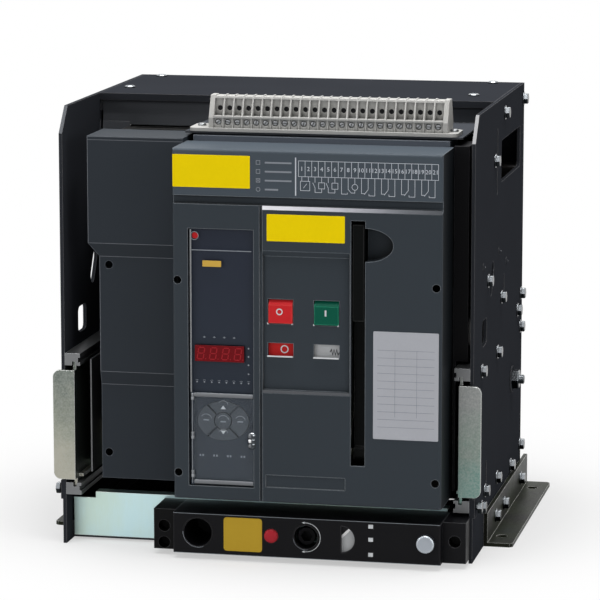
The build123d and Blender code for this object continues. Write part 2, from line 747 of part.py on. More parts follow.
# Breaker base: moulded housing with one open cell for each pole
base_front = front + base_front_y
base_rear = front + base_rear_y
cell_front = base_front + base_wall
cell_rear = base_rear - base_wall
cell_floor = body_low + 18
link_slot_half = 13.0
link_slot_z = (120.0, 262.0)
shaft_y = front + 40
shaft_z = 120.0
shaft_radius = 12.0
shaft_left = body_left + neutral_inset + wall + 1.5
shaft_right = body_right - 5
with BuildPart() as breaker_base:
    block(body_left, body_right, base_front, base_rear, body_low, base_top)
    for x in poles:
        block(x - cell_half, x + cell_half, cell_front, cell_rear, cell_floor, base_top,
              mode=Mode.SUBTRACT)
        block(x - link_slot_half, x + link_slot_half, base_front, cell_front, *link_slot_z,
              mode=Mode.SUBTRACT)
        for z in (lower_z, upper_z):
            block(x - stab_half, x + stab_half, cell_rear, base_rear, z - copper / 2, z + copper / 2,
                  mode=Mode.SUBTRACT)
    for way in (-1, 1):
        lug_x = screw_x + way * lug_spread
        block(lug_x - lug_width / 2, lug_x + lug_width / 2, carriage_front - slide_gap - 14,
              carriage_front - slide_gap, member_high + 2, body_low)
    for x in (shaft_left + 2, shaft_right - 16):
        block(x, x + 14, shaft_y - shaft_radius - 5, base_front, shaft_z - 17, shaft_z + 17)
    cross_rod(shaft_y, shaft_z, shaft_radius + shaft_gap, shaft_left, shaft_right, mode=Mode.SUBTRACT)
keep(breaker_base, "breaker_base")

# Side brackets: angles that rest the breaker on the rails' ledges
bracket_low = rail_flange_low + web + slide_gap
bracket_sheet = 3.0
bracket_edge = web_inner - slide_gap
with BuildPart() as side_brackets:
    for sign, wall_x in ((-1, -body_left), (1, body_right)):
        with BuildSketch(facing(base_front)):
            outline((sign * wall_x, bracket_low), (sign * bracket_edge, bracket_low),
                    (sign * bracket_edge, bracket_low + bracket_sheet),
                    (sign * (wall_x + bracket_sheet), bracket_low + bracket_sheet),
                    (sign * (wall_x + bracket_sheet), bracket_low + 45),
                    (sign * wall_x, bracket_low + 45))
        extrude(amount=base_front - base_rear + 4)
keep(side_brackets, "side_brackets")

# Contact stabs: upper with its fixed contact, lower with a fork and pin for the moving arm
stab_rear = contact_front + 4
fixed_face = base_rear - 57
pivot_y = base_rear - 100
fork_inner = 12.0
fork_outer = 16.0
pivot_pin = 5.0
with BuildPart() as contact_stabs:
    for x in poles:
        block(x - stab_half, x + stab_half, fixed_face + 7, stab_rear, upper_z - copper / 2,
              upper_z + copper / 2)
        block(x - stab_half, x + stab_half, cell_rear - 6, stab_rear, lower_z - copper / 2,
              lower_z + copper / 2)
        block(x - 9, x + 9, fixed_face, fixed_face + 7, upper_z - 9, upper_z + 9)
        block(x - fork_outer, x + fork_outer, pivot_y - 10, cell_rear - 6, lower_z - copper / 2,
              lower_z + copper / 2)
        block(x - fork_inner, x + fork_inner, pivot_y - 10, pivot_y + 17, lower_z - copper / 2,
              lower_z + copper / 2, mode=Mode.SUBTRACT)
        cross_rod(pivot_y, lower_z, pivot_pin, x - fork_outer, x + fork_outer)
    chamfer(contact_stabs.edges().filter_by(Axis.X).group_by(Axis.Y)[-1], length=3)
keep(contact_stabs, "contact_stabs")

# Current transformers: rings round the lower stabs
with BuildPart() as current_transformers:
    for x in poles:
        with BuildSketch(facing(cell_rear - 28)):
            with Locations((x, lower_z)):
                RectangleRounded(2 * cell_half - 1, 52, 6)
                Rectangle(2 * fork_outer + 2 * slide_gap, copper + 2 * slide_gap, mode=Mode.SUBTRACT)
        extrude(amount=-20)
keep(current_transformers, "current_transformers")

# Moving contacts: arms on the stabs' pins, drawn closed and leaned forward by the open angle
open_angle = 11.5
arm_half = 11.6
arm_reach = upper_z - lower_z
link_reach = 75.0  # the links' pin above the arm's pivot
link_pin = 3.0
link_sheet = 3.0
lean = math.radians(open_angle)
with BuildPart() as moving_contacts:
    for x in poles:
        arm_plane = Plane(origin=(x, pivot_y, lower_z), x_dir=(0, math.cos(lean), math.sin(lean)),
                          z_dir=(1, 0, 0))
        with BuildSketch(arm_plane):
            Circle(10)
            outline((-9, 0), (9, 0), (32, arm_reach - 14), (32, arm_reach + 13),
                    (22, arm_reach + 15), (8, arm_reach - 22))
            rect(32, fixed_face - slide_gap - pivot_y, arm_reach - 8, arm_reach + 10)
            Circle(pivot_pin + shaft_gap, mode=Mode.SUBTRACT)
            rect(-link_pin - 4, 12, link_reach - 9, link_reach + 9)
        extrude(amount=arm_half, both=True)
        with BuildSketch(arm_plane):
            rect(-link_pin - 5, 9, link_reach - 14, link_reach + 14)
        extrude(amount=arm_half - link_sheet, both=True, mode=Mode.SUBTRACT)
        with BuildSketch(arm_plane):
            with Locations((0, link_reach)):
                Circle(link_pin)
        extrude(amount=arm_half, both=True)
keep(moving_contacts, "moving_contacts")

# Arc chutes: one on each cell, with plates showing in the slots on top
chute_half = 42.0
chute_front = base_front + 20
chute_rear = base_rear - 10
with BuildPart() as arc_chutes:
    for x in poles:
        block(x - chute_half, x + chute_half, chute_front, chute_rear, base_top, chute_top)
        block(x - cell_half + slide_gap, x + cell_half - slide_gap, chute_front + 70,
              cell_rear - slide_gap, base_top - 30, base_top)
        with BuildSketch(Plane.XY.offset(chute_top)):
            with Locations((x, (chute_front + chute_rear) / 2)):
                with GridLocations(0, 20, 1, 7):
                    SlotOverall(66, 10)
        extrude(amount=-25, mode=Mode.SUBTRACT)
keep(arc_chutes, "arc_chutes")

# Neutral pole cover: hollow, stepped back below its upper part
neutral_right = cover_left - 0.5
neutral_low = 67.0
neutral_high = plinth_low - 2.8
step_high = 303.5
step_low = 290.5
second_step_high = 175.0
second_step_low = 162.0
step_back = 4.0
with BuildPart() as neutral_cover:
    with BuildSketch(facing(front)) as neutral_face:
        outline((neutral_right, neutral_low), (body_left + neutral_inset, neutral_low),
                (body_left + neutral_inset, step_low), (body_left, step_high),
                (body_left, neutral_high), (neutral_right, neutral_high))
    extrude(amount=-base_front_y)
    with BuildSketch(facing(front + 2 * step_back + wall)):
        offset(neutral_face.sketch, amount=-wall)
    extrude(amount=2 * step_back + wall - base_front_y, mode=Mode.SUBTRACT)
    with BuildSketch(beside(body_left)):
        outline((front, step_high), (front + step_back, step_low),
                (front + step_back, second_step_high), (front + 2 * step_back, second_step_low),
                (front + 2 * step_back, neutral_low), (front, neutral_low))
    extrude(amount=neutral_right - body_left, mode=Mode.SUBTRACT)
    for x, z in ((body_left + 20, 282), (body_left + neutral_inset + 7, 93)):
        rod(x, z, cover_screw, front, front + 3 * step_back, mode=Mode.SUBTRACT)
    block(neutral_right - wall, neutral_right, shaft_y - shaft_radius - 2, base_front,
          shaft_z - shaft_radius - 2, shaft_z + shaft_radius + 2, mode=Mode.SUBTRACT)
keep(neutral_cover, "neutral_cover")

# Right-hand cover: a shell beside the front cover, wider above the guides
right_inner = cover_right + slide_gap
right_front = front + 20
right_high = plinth_low - 6
with BuildPart() as right_cover:
    with BuildSketch(facing(right_front)):
        outline((right_inner, neutral_low), (body_right, neutral_low), (body_right, shoulder_z),
                (body_right_high, shoulder_z), (body_right_high, right_high), (right_inner, right_high))
    extrude(amount=right_front - base_front)
    block(right_inner, body_right_high - wall, right_front + wall, base_front, shoulder_z + wall,
          right_high - wall, mode=Mode.SUBTRACT)
keep(right_cover, "right_cover")

# Secondary plug: carries the sliding contacts under the terminal block
plug_left = cover_left + 6
plug_right = cover_right - 4
plug_top = plinth_low - 1.5
plug_front = front + cover_back + 0.6
with BuildPart() as secondary_plug:
    with BuildSketch(beside(plug_left)):
        outline((plug_front, plug_top - 12), (plug_front, plug_top), (base_front + 6, plug_top),
                (base_front + 6, base_top), (base_front, base_top), (base_front, plug_top - 12))
    extrude(amount=plug_right - plug_left)
keep(secondary_plug, "secondary_plug")

# Front cover: thin moulded shell with recesses, windows and the handle's slot
flag_centres = (off_x, on_x)
screw_left = cover_left + 4.5
screw_right = cover_right - 5.7
screw_points = [(x, z) for x in (screw_left, screw_right) for z in (88.0, 277.5)]
with BuildPart() as front_cover:
    block(cover_left, cover_right, cover_face, front + cover_back, cover_low, cover_high)
    fillet(front_cover.faces().sort_by(Axis.Y)[0].edges(), cover_edge)
    block(cover_left + wall, cover_right - wall, cover_face + wall, front + cover_back,
          cover_low + wall, cover_high - wall, mode=Mode.SUBTRACT)
    block(pocket_left - wall, pocket_right + wall, cover_face + wall - 0.1, pocket_face + wall,
          pocket_low - wall, pocket_high + pocket_top_slope + wall)
    block(cover_left + wall - 0.1, cover_right - wall + 0.1, cover_face + wall - 0.1, pocket_face + wall,
          panel_top - panel_bevel - wall, band_low + wall)
    block(slot_right, slot_right + finger_reach + wall, cover_face + wall - 0.1,
          cover_face + finger_depth + wall, finger_z - finger_half - wall, finger_z + finger_half + wall)
    with BuildSketch(beside(pocket_left)):
        outline((cover_face, pocket_low - pocket_low_slope), (pocket_face, pocket_low),
                (pocket_face, pocket_high), (cover_face, pocket_high + pocket_top_slope))
    extrude(amount=pocket_right - pocket_left, mode=Mode.SUBTRACT)
    with BuildSketch(beside(divider_right)):
        outline((cover_face, panel_top - panel_bevel), (pocket_face, panel_top),
                (pocket_face, band_low), (cover_face, band_low))
    extrude(amount=cover_right - divider_right, mode=Mode.SUBTRACT)
    block(cover_left, divider_right, cover_face, pocket_face, panel_top, band_low, mode=Mode.SUBTRACT)
    block(divider_left, divider_right, cover_face, cover_face + 1.5, cover_low, panel_top,
          mode=Mode.SUBTRACT)
    block(10.3, 88.4, cover_face, cover_face + 1, 77.2, 89.2, mode=Mode.SUBTRACT)
    with BuildSketch(facing(cover_face)):
        with Locations((slot_right, finger_z)):
            Ellipse(finger_reach, finger_half)
        rect(slot_right - finger_reach, slot_right, finger_z - finger_half, finger_z + finger_half,
             mode=Mode.SUBTRACT)
    extrude(amount=-finger_depth, mode=Mode.SUBTRACT)
    with BuildSketch(facing(cover_face)):
        rect(unit_left, unit_right, unit_low, unit_high)
        rect(slot_left, slot_right, slot_low, slot_high)
        for x in flag_centres:
            rect(x - window_width / 2, x + window_width / 2, button_window_low,
                 button_window_low + button_window_height)
            rect(x - window_width / 2, x + window_width / 2, flag_window_low,
                 flag_window_low + flag_window_height)
        with Locations(*screw_points):
            Circle(cover_screw)
    extrude(amount=-(pocket_depth + 2 * wall), mode=Mode.SUBTRACT)
keep(front_cover, "front_cover")

# Controller: the electronic trip unit behind the window, with wells for its keys
unit_face = cover_face + unit_recess
key_well = key_height - key_proud + key_travel + 0.2
hinge_y = unit_face - hinge_radius - 0.1
key_wedges = {
    "key_right": ((key_slit, 0), (60, 60 - key_slit), (60, key_slit - 60)),
    "key_left": ((-key_slit, 0), (-60, 60 - key_slit), (-60, key_slit - 60)),
    "key_up": ((0, key_slit), (60 - key_slit, 60), (key_slit - 60, 60)),
    "key_down": ((0, -key_slit), (60 - key_slit, -60), (key_slit - 60, -60)),
}
with BuildPart() as controller:
    block(unit_left + window_gap, unit_right - window_gap, unit_face, front + unit_back,
          unit_low + window_gap, unit_high - window_gap)
    with BuildSketch(facing(unit_face)):
        with Locations((keypad_x, keypad_z)):
            Ellipse(key_reach_x + slide_gap, key_reach_z + slide_gap)
    extrude(amount=-key_well, mode=Mode.SUBTRACT)
    rod(reset_x, reset_z, reset_radius + stem_gap, unit_face, unit_face + 6, mode=Mode.SUBTRACT)
    block(-60, -10.7, unit_face, unit_face + 1.5, 198.2, 214.6, mode=Mode.SUBTRACT)
    for z0, z1 in ((door_low, door_low + 4), (door_high - 4, door_high)):
        block(hinge_x - hinge_radius, hinge_x + hinge_radius, hinge_y, unit_face, z0, z1)
        with BuildSketch(Plane.XY.offset(z0)):
            with Locations((hinge_x, hinge_y)):
                Circle(hinge_radius)
        extrude(amount=z1 - z0)
    with BuildSketch(Plane.XY.offset(door_low)):
        with Locations((hinge_x, hinge_y)):
            Circle(hinge_pin)
    extrude(amount=door_high - door_low)
keep(controller, "controller")

with BuildPart() as reset_button:
    rod(reset_x, reset_z, reset_radius, unit_face - 2.2, unit_face + 4)
    fillet(reset_button.faces().sort_by(Axis.Y)[0].edges(), 0.8)
keep(reset_button, "reset_button")

for name, wedge in key_wedges.items():
    with BuildPart() as key:
        with BuildSketch(facing(unit_face - key_proud)):
            with Locations((keypad_x, keypad_z)):
                Ellipse(key_reach_x, key_reach_z)
            outline(*((keypad_x + u, keypad_z + v) for u, v in wedge), mode=Mode.INTERSECT)
            with Locations((keypad_x, keypad_z)):
                Circle(key_centre + key_slit, mode=Mode.SUBTRACT)
        extrude(amount=-key_height)
    keep(key, name)

with BuildPart() as key_enter:
    rod(keypad_x, keypad_z, key_centre, unit_face - key_proud, unit_face - key_proud + key_height)
keep(key_enter, "key_enter")

# Controller door: clear, with a hinge barrel on its left edge and a rim above and below
door_front = hinge_y - door_sheet / 2
door_right = unit_right - window_gap
with BuildPart() as controller_door:
    with BuildSketch(Plane.XY.offset(door_low + 4 + slide_gap)):
        with Locations((hinge_x, hinge_y)):
            Circle(hinge_radius - 0.1)
        rect(hinge_x, door_right, door_front, door_front + door_sheet)
        with Locations((hinge_x, hinge_y)):
            Circle(hinge_pin + shaft_gap, mode=Mode.SUBTRACT)
    extrude(amount=door_high - door_low - 8 - 2 * slide_gap)
    for z0, z1 in ((door_low + 0.5, door_low + 6), (door_high - 6, door_high - 0.5)):
        block(hinge_x + 3, door_right, door_front, door_front + door_sheet, z0, z1)
keep(controller_door, "controller_door")

# Push buttons: a sloped top, a flange behind the cover and a stem
button_flange = pocket_face + wall + slide_gap
for name, x in (("off_button", off_x), ("on_button", on_x)):
    half = window_width / 2 - window_gap
    low = button_window_low + window_gap
    high = button_window_low + button_window_height - window_gap
    with BuildPart() as button:
        with BuildSketch(beside(x - half)):
            outline((pocket_face - 1, low), (button_flange, low), (button_flange, high),
                    (pocket_face + 2.5, high), (pocket_face - 1, high - 5))
        extrude(amount=2 * half)
        block(x - half - 2, x + half + 2, button_flange, button_flange + 2, low - 2, high + 2)
        rod(x, (low + high) / 2, 4, button_flange + 2, button_flange + 26)
    keep(button, name)

# Flags behind the two lower windows
flag_sheet = 1.5
flag_travel = 14.5
flag_low = flag_window_low - 1.3
for name, x in (("contact_flag", off_x), ("charge_flag", on_x)):
    with BuildPart() as flag:
        block(x - window_width / 2 - 1.5, x + window_width / 2 + 1.5, button_flange,
              button_flange + flag_sheet, flag_low, flag_low + 2 * flag_travel)
    keep(flag, name)

# Mechanism frame: two steel cheeks joined by rods, with the handle's pin on the right cheek
cheek = 3.0
left_cheek = 8.0
right_cheek = 89.0
handle_y = front - 28
handle_z = 112.0
handle_pin = 4.0
spring_y = front + 5
spring_low = 105.0
spring_high = 235.0
frame_rod = 4.0
with BuildPart() as mechanism_frame:
    for x in (left_cheek, right_cheek):
        with BuildSketch(beside(x)) as cheek_face:
            outline((handle_y - 7, handle_z - 12), (base_front, handle_z - 24), (base_front, 325),
                    (front - 2, 325), (front - 18, 150), (handle_y - 7, handle_z + 12))
            with Locations((shaft_y, shaft_z)):
                Circle(shaft_radius + shaft_gap, mode=Mode.SUBTRACT)
            with Locations((front + 30, 200), (front + 32, 270)):
                SlotOverall(46, 26, rotation=90, mode=Mode.SUBTRACT)
        extrude(amount=cheek)
    for y, z in ((spring_y, spring_low), (spring_y, spring_high), (front + 51, 225), (front + 6, 312)):
        cross_rod(y, z, frame_rod, left_cheek, right_cheek + cheek)
    cross_rod(handle_y, handle_z, handle_pin, right_cheek, slot_right + 1)
keep(mechanism_frame, "mechanism_frame")

# Closing spring on its guide rod, between two rods of the frame
spring_x = 48.0
spring_radius = 13.0
spring_wire = 2.0
spring_turns = 9
guide_rod = 6.0
spring_bottom = spring_low + frame_rod
spring_top = spring_high - frame_rod
turn_pitch = (spring_top - spring_bottom) / spring_turns
with BuildPart() as closing_spring:
    with BuildSketch(Plane.XY.offset(spring_bottom)):
        with Locations((spring_x, spring_y)):
            Circle(guide_rod)
    extrude(amount=spring_top - spring_bottom)
    with BuildSketch(Plane(origin=(spring_x, spring_y, spring_bottom), x_dir=(1, 0, 0),
                           z_dir=(0, -1, 0))):
        for i in range(spring_turns):
            rect(0, spring_radius, (i + 0.5) * turn_pitch - spring_wire,
                 (i + 0.5) * turn_pitch + spring_wire)
    revolve(axis=Axis((spring_x, spring_y, spring_bottom), (0, 0, 1)))
keep(closing_spring, "closing_spring")

# Charging motor with its gearbox on the right cheek
motor_y = front + 20
motor_z = 262.0
with BuildPart() as charging_motor:
    block(right_cheek + cheek, 120, motor_y - 22, motor_y + 22, motor_z - 26, motor_z + 26)
    cross_rod(motor_y, motor_z, 20, 120, 172)
    cross_rod(motor_y, motor_z, 10, 172, 177)
keep(charging_motor, "charging_motor")

# Main shaft with one lever for each pole
lever_length = 35.0
lever_half = 5.0
with BuildPart() as main_shaft:
    cross_rod(shaft_y, shaft_z, shaft_radius, shaft_left, shaft_right)
    for x in poles:
        with BuildSketch(beside(x - lever_half)):
            with Locations((shaft_y, shaft_z)):
                Circle(shaft_radius + 4.5)
            with Locations((shaft_y, shaft_z + lever_length)):
                Circle(7)
            make_hull()
        extrude(amount=2 * lever_half)
        cross_rod(shaft_y, shaft_z + lever_length, link_pin, x - arm_half + link_sheet,
                  x + arm_half - link_sheet)
keep(main_shaft, "main_shaft")

# Links from the levers to the arms, with lost motion in their rear eyes
link_from = (shaft_y, shaft_z + lever_length)
link_to = (pivot_y - link_reach * math.sin(lean), lower_z + link_reach * math.cos(lean))
link_length = math.dist(link_from, link_to)
link_dir = (0, (link_to[0] - link_from[0]) / link_length, (link_to[1] - link_from[1]) / link_length)
lost_motion = 1.2
with BuildPart() as contact_links:
    for x in poles:
        for sign in (-1, 1):
            link_x = x + sign * (arm_half - link_sheet - slide_gap - link_sheet / 2)
            with BuildSketch(Plane(origin=(link_x, *link_from), x_dir=link_dir, z_dir=(1, 0, 0))):
                with Locations((0, 0), (link_length - 0.5, 0)):
                    Circle(link_pin + 4)
                rect(0, link_length - 0.5, -4, 4)
                Circle(link_pin + shaft_gap, mode=Mode.SUBTRACT)
                with Locations((link_length - 0.5, 0)):
                    Circle(link_pin + lost_motion, mode=Mode.SUBTRACT)
            extrude(amount=link_sheet / 2, both=True)
keep(contact_links, "contact_links")

# Charging handle: a slim arm on its pin, with the grip at the top
handle_half = 5.4
handle_x = (slot_left + slot_right) / 2
grip_low = 243.0
grip_high = 336.0
grip_front = cover_face + 1.6
with BuildPart() as charging_handle:
    with BuildSketch(beside(handle_x - handle_half)) as handle_side:
        rect(handle_y - 5, handle_y + 4, handle_z, grip_low + 10)
        rect(grip_front, handle_y + 4, grip_low, grip_high)
        fillet(handle_side.vertices().group_by(Axis.Y)[0], 3)
        with Locations((handle_y, handle_z)):
            Circle(9)
            Circle(handle_pin + shaft_gap, mode=Mode.SUBTRACT)
    extrude(amount=2 * handle_half)
keep(charging_handle, "charging_handle")
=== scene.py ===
import math
import bmesh
import bpy
import numpy as np
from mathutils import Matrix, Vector


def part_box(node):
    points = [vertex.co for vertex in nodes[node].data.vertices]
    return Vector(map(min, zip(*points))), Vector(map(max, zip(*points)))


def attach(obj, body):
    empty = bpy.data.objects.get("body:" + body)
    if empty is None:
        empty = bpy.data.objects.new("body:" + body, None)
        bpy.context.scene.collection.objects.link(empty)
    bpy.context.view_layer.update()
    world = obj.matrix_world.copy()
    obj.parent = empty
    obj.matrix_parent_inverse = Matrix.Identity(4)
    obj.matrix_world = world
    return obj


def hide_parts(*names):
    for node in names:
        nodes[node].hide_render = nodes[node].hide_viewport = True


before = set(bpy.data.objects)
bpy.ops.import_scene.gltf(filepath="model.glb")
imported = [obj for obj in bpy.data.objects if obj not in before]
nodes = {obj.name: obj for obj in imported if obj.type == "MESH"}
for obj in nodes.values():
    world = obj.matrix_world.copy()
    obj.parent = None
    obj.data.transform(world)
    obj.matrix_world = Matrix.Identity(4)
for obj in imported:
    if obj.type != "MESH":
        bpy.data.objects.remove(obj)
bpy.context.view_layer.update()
mm = 0.001
print("frame loaded:", len(nodes), "nodes")


def span(node):  # lowest and highest corner of a CAD node, in millimetres
    low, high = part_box(node)
    return np.array(low) / mm, np.array(high) / mm


coverLow, coverHigh = span("front_cover")
plateLow, plateHigh = span("side_plate_right")
panelLow, panelHigh = span("racking_panel")
coverFace, plateFront, panelFace = coverLow[1], plateLow[1], panelLow[1]
pocket = span("controller")[0][1] - coverFace  # how deep the cover's pocket lies


# Camera, light and floor

view = {"focal": 200.0, "target": (35.0, 254.25), "distance": 3233.2, "yaw": 11.88, "pitch": 9.75}
lamps = {
    "top": {"at": (0.1, -0.2, 3.0), "size": 2.6, "watts": 135.0},
    "left": {"at": (-2.6, -2.6, 1.3), "size": 2.2, "watts": 34.0},
    "right": {"at": (2.9, -1.9, 1.2), "size": 1.6, "watts": 18.0},
}
studio = {"ambient": 0.2, "floor": 0.66, "floorSize": 24.0, "shadowReach": 0.27, "whiteReach": 0.5,
          "aim": (0.0, -0.1, 0.22)}


def placed(name, data):  # an object for the data, in the scene
    thing = bpy.data.objects.new(name, data)
    bpy.context.scene.collection.objects.link(thing)
    return thing


def aimAt(thing, place, target):  # turns a camera or lamp at place towards target
    thing.location = place
    thing.rotation_euler = (Vector(target) - Vector(place)).to_track_quat("-Z", "Y").to_euler()


def makeCamera():
    yaw, pitch = math.radians(view["yaw"]), math.radians(view["pitch"])
    back = Vector((math.sin(yaw) * math.cos(pitch), -math.cos(yaw) * math.cos(pitch), math.sin(pitch)))
    target = Vector((view["target"][0], plateFront, view["target"][1])) * mm
    camera = placed("camera", bpy.data.cameras.new("camera"))
    camera.data.lens = view["focal"]
    camera.data.sensor_width = 36.0
    camera.data.clip_end = 30.0
    aimAt(camera, target + back * view["distance"] * mm, target)
    bpy.context.scene.camera = camera


def makeLamps():
    for name, lamp in lamps.items():
        data = bpy.data.lights.new(name, "AREA")
        data.shape = "DISK"
        data.size = lamp["size"]
        data.energy = lamp["watts"]
        aimAt(placed(name, data), lamp["at"], studio["aim"])


makeCamera()
makeLamps()
bpy.context.scene.view_settings.view_transform = "Standard"
print("camera and lamps placed")


# Shader sums, written as expressions on sockets

class Wire:  # one output socket; sums on it add Math nodes
    def __init__(self, paint, socket):
        self.paint = paint
        self.socket = socket

    def sum(self, operation, *others, flip=False):
        ends = [*others, self] if flip else [self, *others]
        return self.paint.node("Math", {"operation": operation}, dict(enumerate(ends)))

    def __add__(self, other):
        return self.sum("ADD", other)

    def __sub__(self, other):
        return self.sum("SUBTRACT", other)

    def __mul__(self, other):
        return self.sum("MULTIPLY", other)

    def __truediv__(self, other):
        return self.sum("DIVIDE", other)

    def __pow__(self, other):
        return self.sum("POWER", other)

    def __rsub__(self, other):
        return self.sum("SUBTRACT", other, flip=True)

    def __gt__(self, other):
        return self.sum("GREATER_THAN", other)

    def held(self):  # kept between 0 and 1
        return self.sum("MAXIMUM", 0.0).sum("MINIMUM", 1.0)


class Paint:  # one material, its shader and the nodes that feed it
    def __init__(self, name, **fixed):
        self.material = bpy.data.materials.new(name)
        self.material.use_nodes = True
        self.tree = self.material.node_tree
        self.shader = self.tree.nodes["Principled BSDF"]
        self.place = self.node("TexCoord", output="Object")
        self.set(**fixed)

    def set(self, **values):  # baseColor sets or links the socket Base Color, and so on
        sockets = {socket.name.replace(" ", "").lower(): socket for socket in self.shader.inputs}
        for key, value in values.items():
            self.feed(sockets[key.lower()], value)

    def feed(self, socket, value):
        if isinstance(value, Wire):
            self.tree.links.new(value.socket, socket)
        elif hasattr(value, "__len__") and len(value) == 3 and socket.type == "RGBA":
            socket.default_value = (*value, 1.0)
        else:
            socket.default_value = value

    def node(self, kind, settings=None, inputs=None, output=0):  # any shader node, settings first
        made = self.tree.nodes.new("ShaderNode" + kind)
        for key, value in (settings or {}).items():
            if key == "stops":
                while len(made.color_ramp.elements) < len(value):
                    made.color_ramp.elements.new(0.5)
                for element, (place, colour) in zip(made.color_ramp.elements, value):
                    element.position = place
                    element.color = (*colour, 1.0)
            else:
                setattr(made, key, value)
        for key, value in (inputs or {}).items():
            self.feed(made.inputs[key], value)
        return Wire(self, made.outputs[output])

    def axis(self, letter):  # one of the object's coordinates, in metres
        return self.node("SeparateXYZ", {}, {0: self.place}, letter)

    def rise(self, letter, start, end):  # from 0 at start to 1 at end along one axis, in millimetres
        return (self.axis(letter) - start * mm) / ((end - start) * mm)

    def facing(self, letter):  # how far the surface faces along one axis, from -1 to 1
        normal = self.node("NewGeometry", output="Normal")
        return self.node("SeparateXYZ", {}, {0: normal}, letter)

    def noise(self, size, detail=3.0, stretch=(1.0, 1.0, 1.0), roughness=0.5):  # size in millimetres
        mapped = self.node("Mapping", {}, {"Vector": self.place, "Scale": stretch})
        settings = {"Vector": mapped, "Scale": 1 / (size * mm), "Detail": detail, "Roughness": roughness}
        return self.node("TexNoise", {}, settings)

    def ramp(self, factor, *stops):
        return self.node("ValToRGB", {"stops": stops}, {0: factor})

    def mix(self, factor, first, second):
        settings = {"data_type": "RGBA"}
        return self.node("Mix", settings, {0: factor, 6: first, 7: second}, 2)

    def rounded(self, radius):  # the surface's normal, softened over its edges
        return self.node("Bevel", {"samples": 6}, {"Radius": radius * mm})

    def bump(self, height, strength, depth, under=None):
        inputs = {"Height": height, "Strength": strength, "Distance": depth * mm}
        if under is not None:
            inputs["Normal"] = under
        return self.node("Bump", {}, inputs)

    def recessShade(self, reach):  # mask for painted shade: 1 in the open, towards 0 in a hole narrower than the reach
        settings = {"samples": 4, "only_local": True}
        openness = self.node("AmbientOcclusion", settings, {"Distance": reach * mm}, "AO")
        return ((openness - 0.35) * 2.6).held()

    def edge(self, softened):  # 0 on a flat face, rising on an edge
        inputs = {0: softened, 1: self.node("NewGeometry", output="Normal")}
        along = self.node("VectorMath", {"operation": "DOT_PRODUCT"}, inputs, "Value")
        return ((1.0 - along).sum("MAXIMUM", 0.0) ** 0.5 * 5.0 - 0.3).sum("MAXIMUM", 0.0)


# Materials: each dictionary holds what the function under it needs, by the name of the material

def scaled(colour, share):
    return tuple(part * share for part in colour)


finishes = {  # colour, colour of edges that are worn and carry a painted highlight, size of the grain in millimetres, roughness
    "coverGrey": ((0.030, 0.0375, 0.0455), (0.20, 0.22, 0.24), 0.45, 0.5),
    # a darker copy of the cover's grey for the neutral cover: painted shade
    "neutralGrey": ((0.0215, 0.0265, 0.033), (0.13, 0.145, 0.165), 0.45, 0.5),
    "panelBlack": ((0.0035, 0.0035, 0.0045), (0.07, 0.07, 0.075), 0.7, 0.45),
    "mouldingBrown": ((0.014, 0.013, 0.013), (0.05, 0.048, 0.045), 0.8, 0.55),
    "insulationDark": ((0.02, 0.02, 0.023), (0.06, 0.06, 0.065), 0.6, 0.5),
    "terminalGrey": ((0.40, 0.396, 0.38), (0.52, 0.515, 0.50), 0.5, 0.45),
    "handleBlack": ((0.002, 0.0025, 0.0025), (0.05, 0.05, 0.05), 0.5, 0.4),
    "keyGrey": ((0.056, 0.066, 0.079), (0.1, 0.11, 0.12), 0.3, 0.5),
    "offRed": ((0.52, 0.016, 0.02), (0.7, 0.12, 0.1), 0.3, 0.35),
    "onGreen": ((0.0, 0.078, 0.046), (0.05, 0.4, 0.24), 0.3, 0.35),
    "releaseRed": ((0.36, 0.018, 0.028), (0.6, 0.1, 0.1), 0.3, 0.35),
    "plugGrey": ((0.085, 0.097, 0.118), (0.22, 0.24, 0.26), 0.5, 0.45),
    # a darker copy of the panel's black for the left racking end: painted shade
    "endBlack": ((0.0008, 0.0008, 0.001), (0.05, 0.05, 0.052), 0.5, 0.5),
    "chuteBlack": ((0.012, 0.012, 0.012), (0.04, 0.04, 0.04), 1.2, 0.7),
}
holeShade = {"terminalGrey": (5.0, (0.11, 0.11, 0.105)), "plugGrey": (2.0, (0.0015, 0.0015, 0.0015)),
         "usual": (24.0, (0.0015, 0.0015, 0.0015))}  # how wide a hole gets painted shade, and the colour of that shade
coverShade = {"band": 359.8, "pale": 1.85, "side": 2.6, "dark": 0.22}  # where its grey changes, and how much: painted light above the groove and on the top, painted shade on the right side


def mouldedPlastic(name):  # fine grained moulding: uneven gloss, pale edges that are partly wear and partly a painted highlight, painted shade in its recesses
    base, wornAndLitEdge, size, rough = finishes[name]
    reach, deep = holeShade.get(name, holeShade["usual"])
    paint = Paint(name, specularIORLevel=0.05 if name == "handleBlack" else 0.1)
    soft = paint.rounded(1.1)
    blotch = paint.noise(60.0, 4.0)
    grain = paint.noise(size, 2.0)
    scuffs = paint.noise(9.0, 6.0, roughness=0.7)
    tone = paint.mix(blotch * 0.5, base, scaled(base, 1.12))
    if name == "coverGrey":  # painted light: paler in the band above the groove and on the top; painted shade: dark on the side to the right
        litBand = paint.axis("Z") > coverShade["band"] * mm
        tone = paint.mix(litBand, tone, scaled(base, coverShade["pale"]))
        behind = paint.axis("Y") > (coverFace + coverShade["side"]) * mm
        tone = paint.mix((paint.facing("X") > 0.8) * behind, tone, scaled(base, coverShade["dark"]))
    # pale edges: partly wear, partly a painted highlight where the edges catch the light
    wearAndHighlight = paint.edge(soft) * (scuffs * 0.7 + 0.3)
    # painted shade: holes and recesses go dark
    shade = paint.mix(paint.recessShade(reach), deep, paint.mix(wearAndHighlight.held(), tone, wornAndLitEdge))
    paint.set(baseColor=shade, roughness=grain * 0.14 + blotch * 0.1 + (rough - 0.12),
              normal=paint.bump(grain, 0.25, 0.06, soft))
    return paint


# the coat, and lighter copies of it as painted light: one for the upper panel and the seal, one for the
# plinth shaded by the terminal lip
coats = {"powderCoat": (0.025, 0.027, 0.032), "plinthGrey": (0.05, 0.054, 0.062),
         "powderPale": (0.085, 0.09, 0.1)}


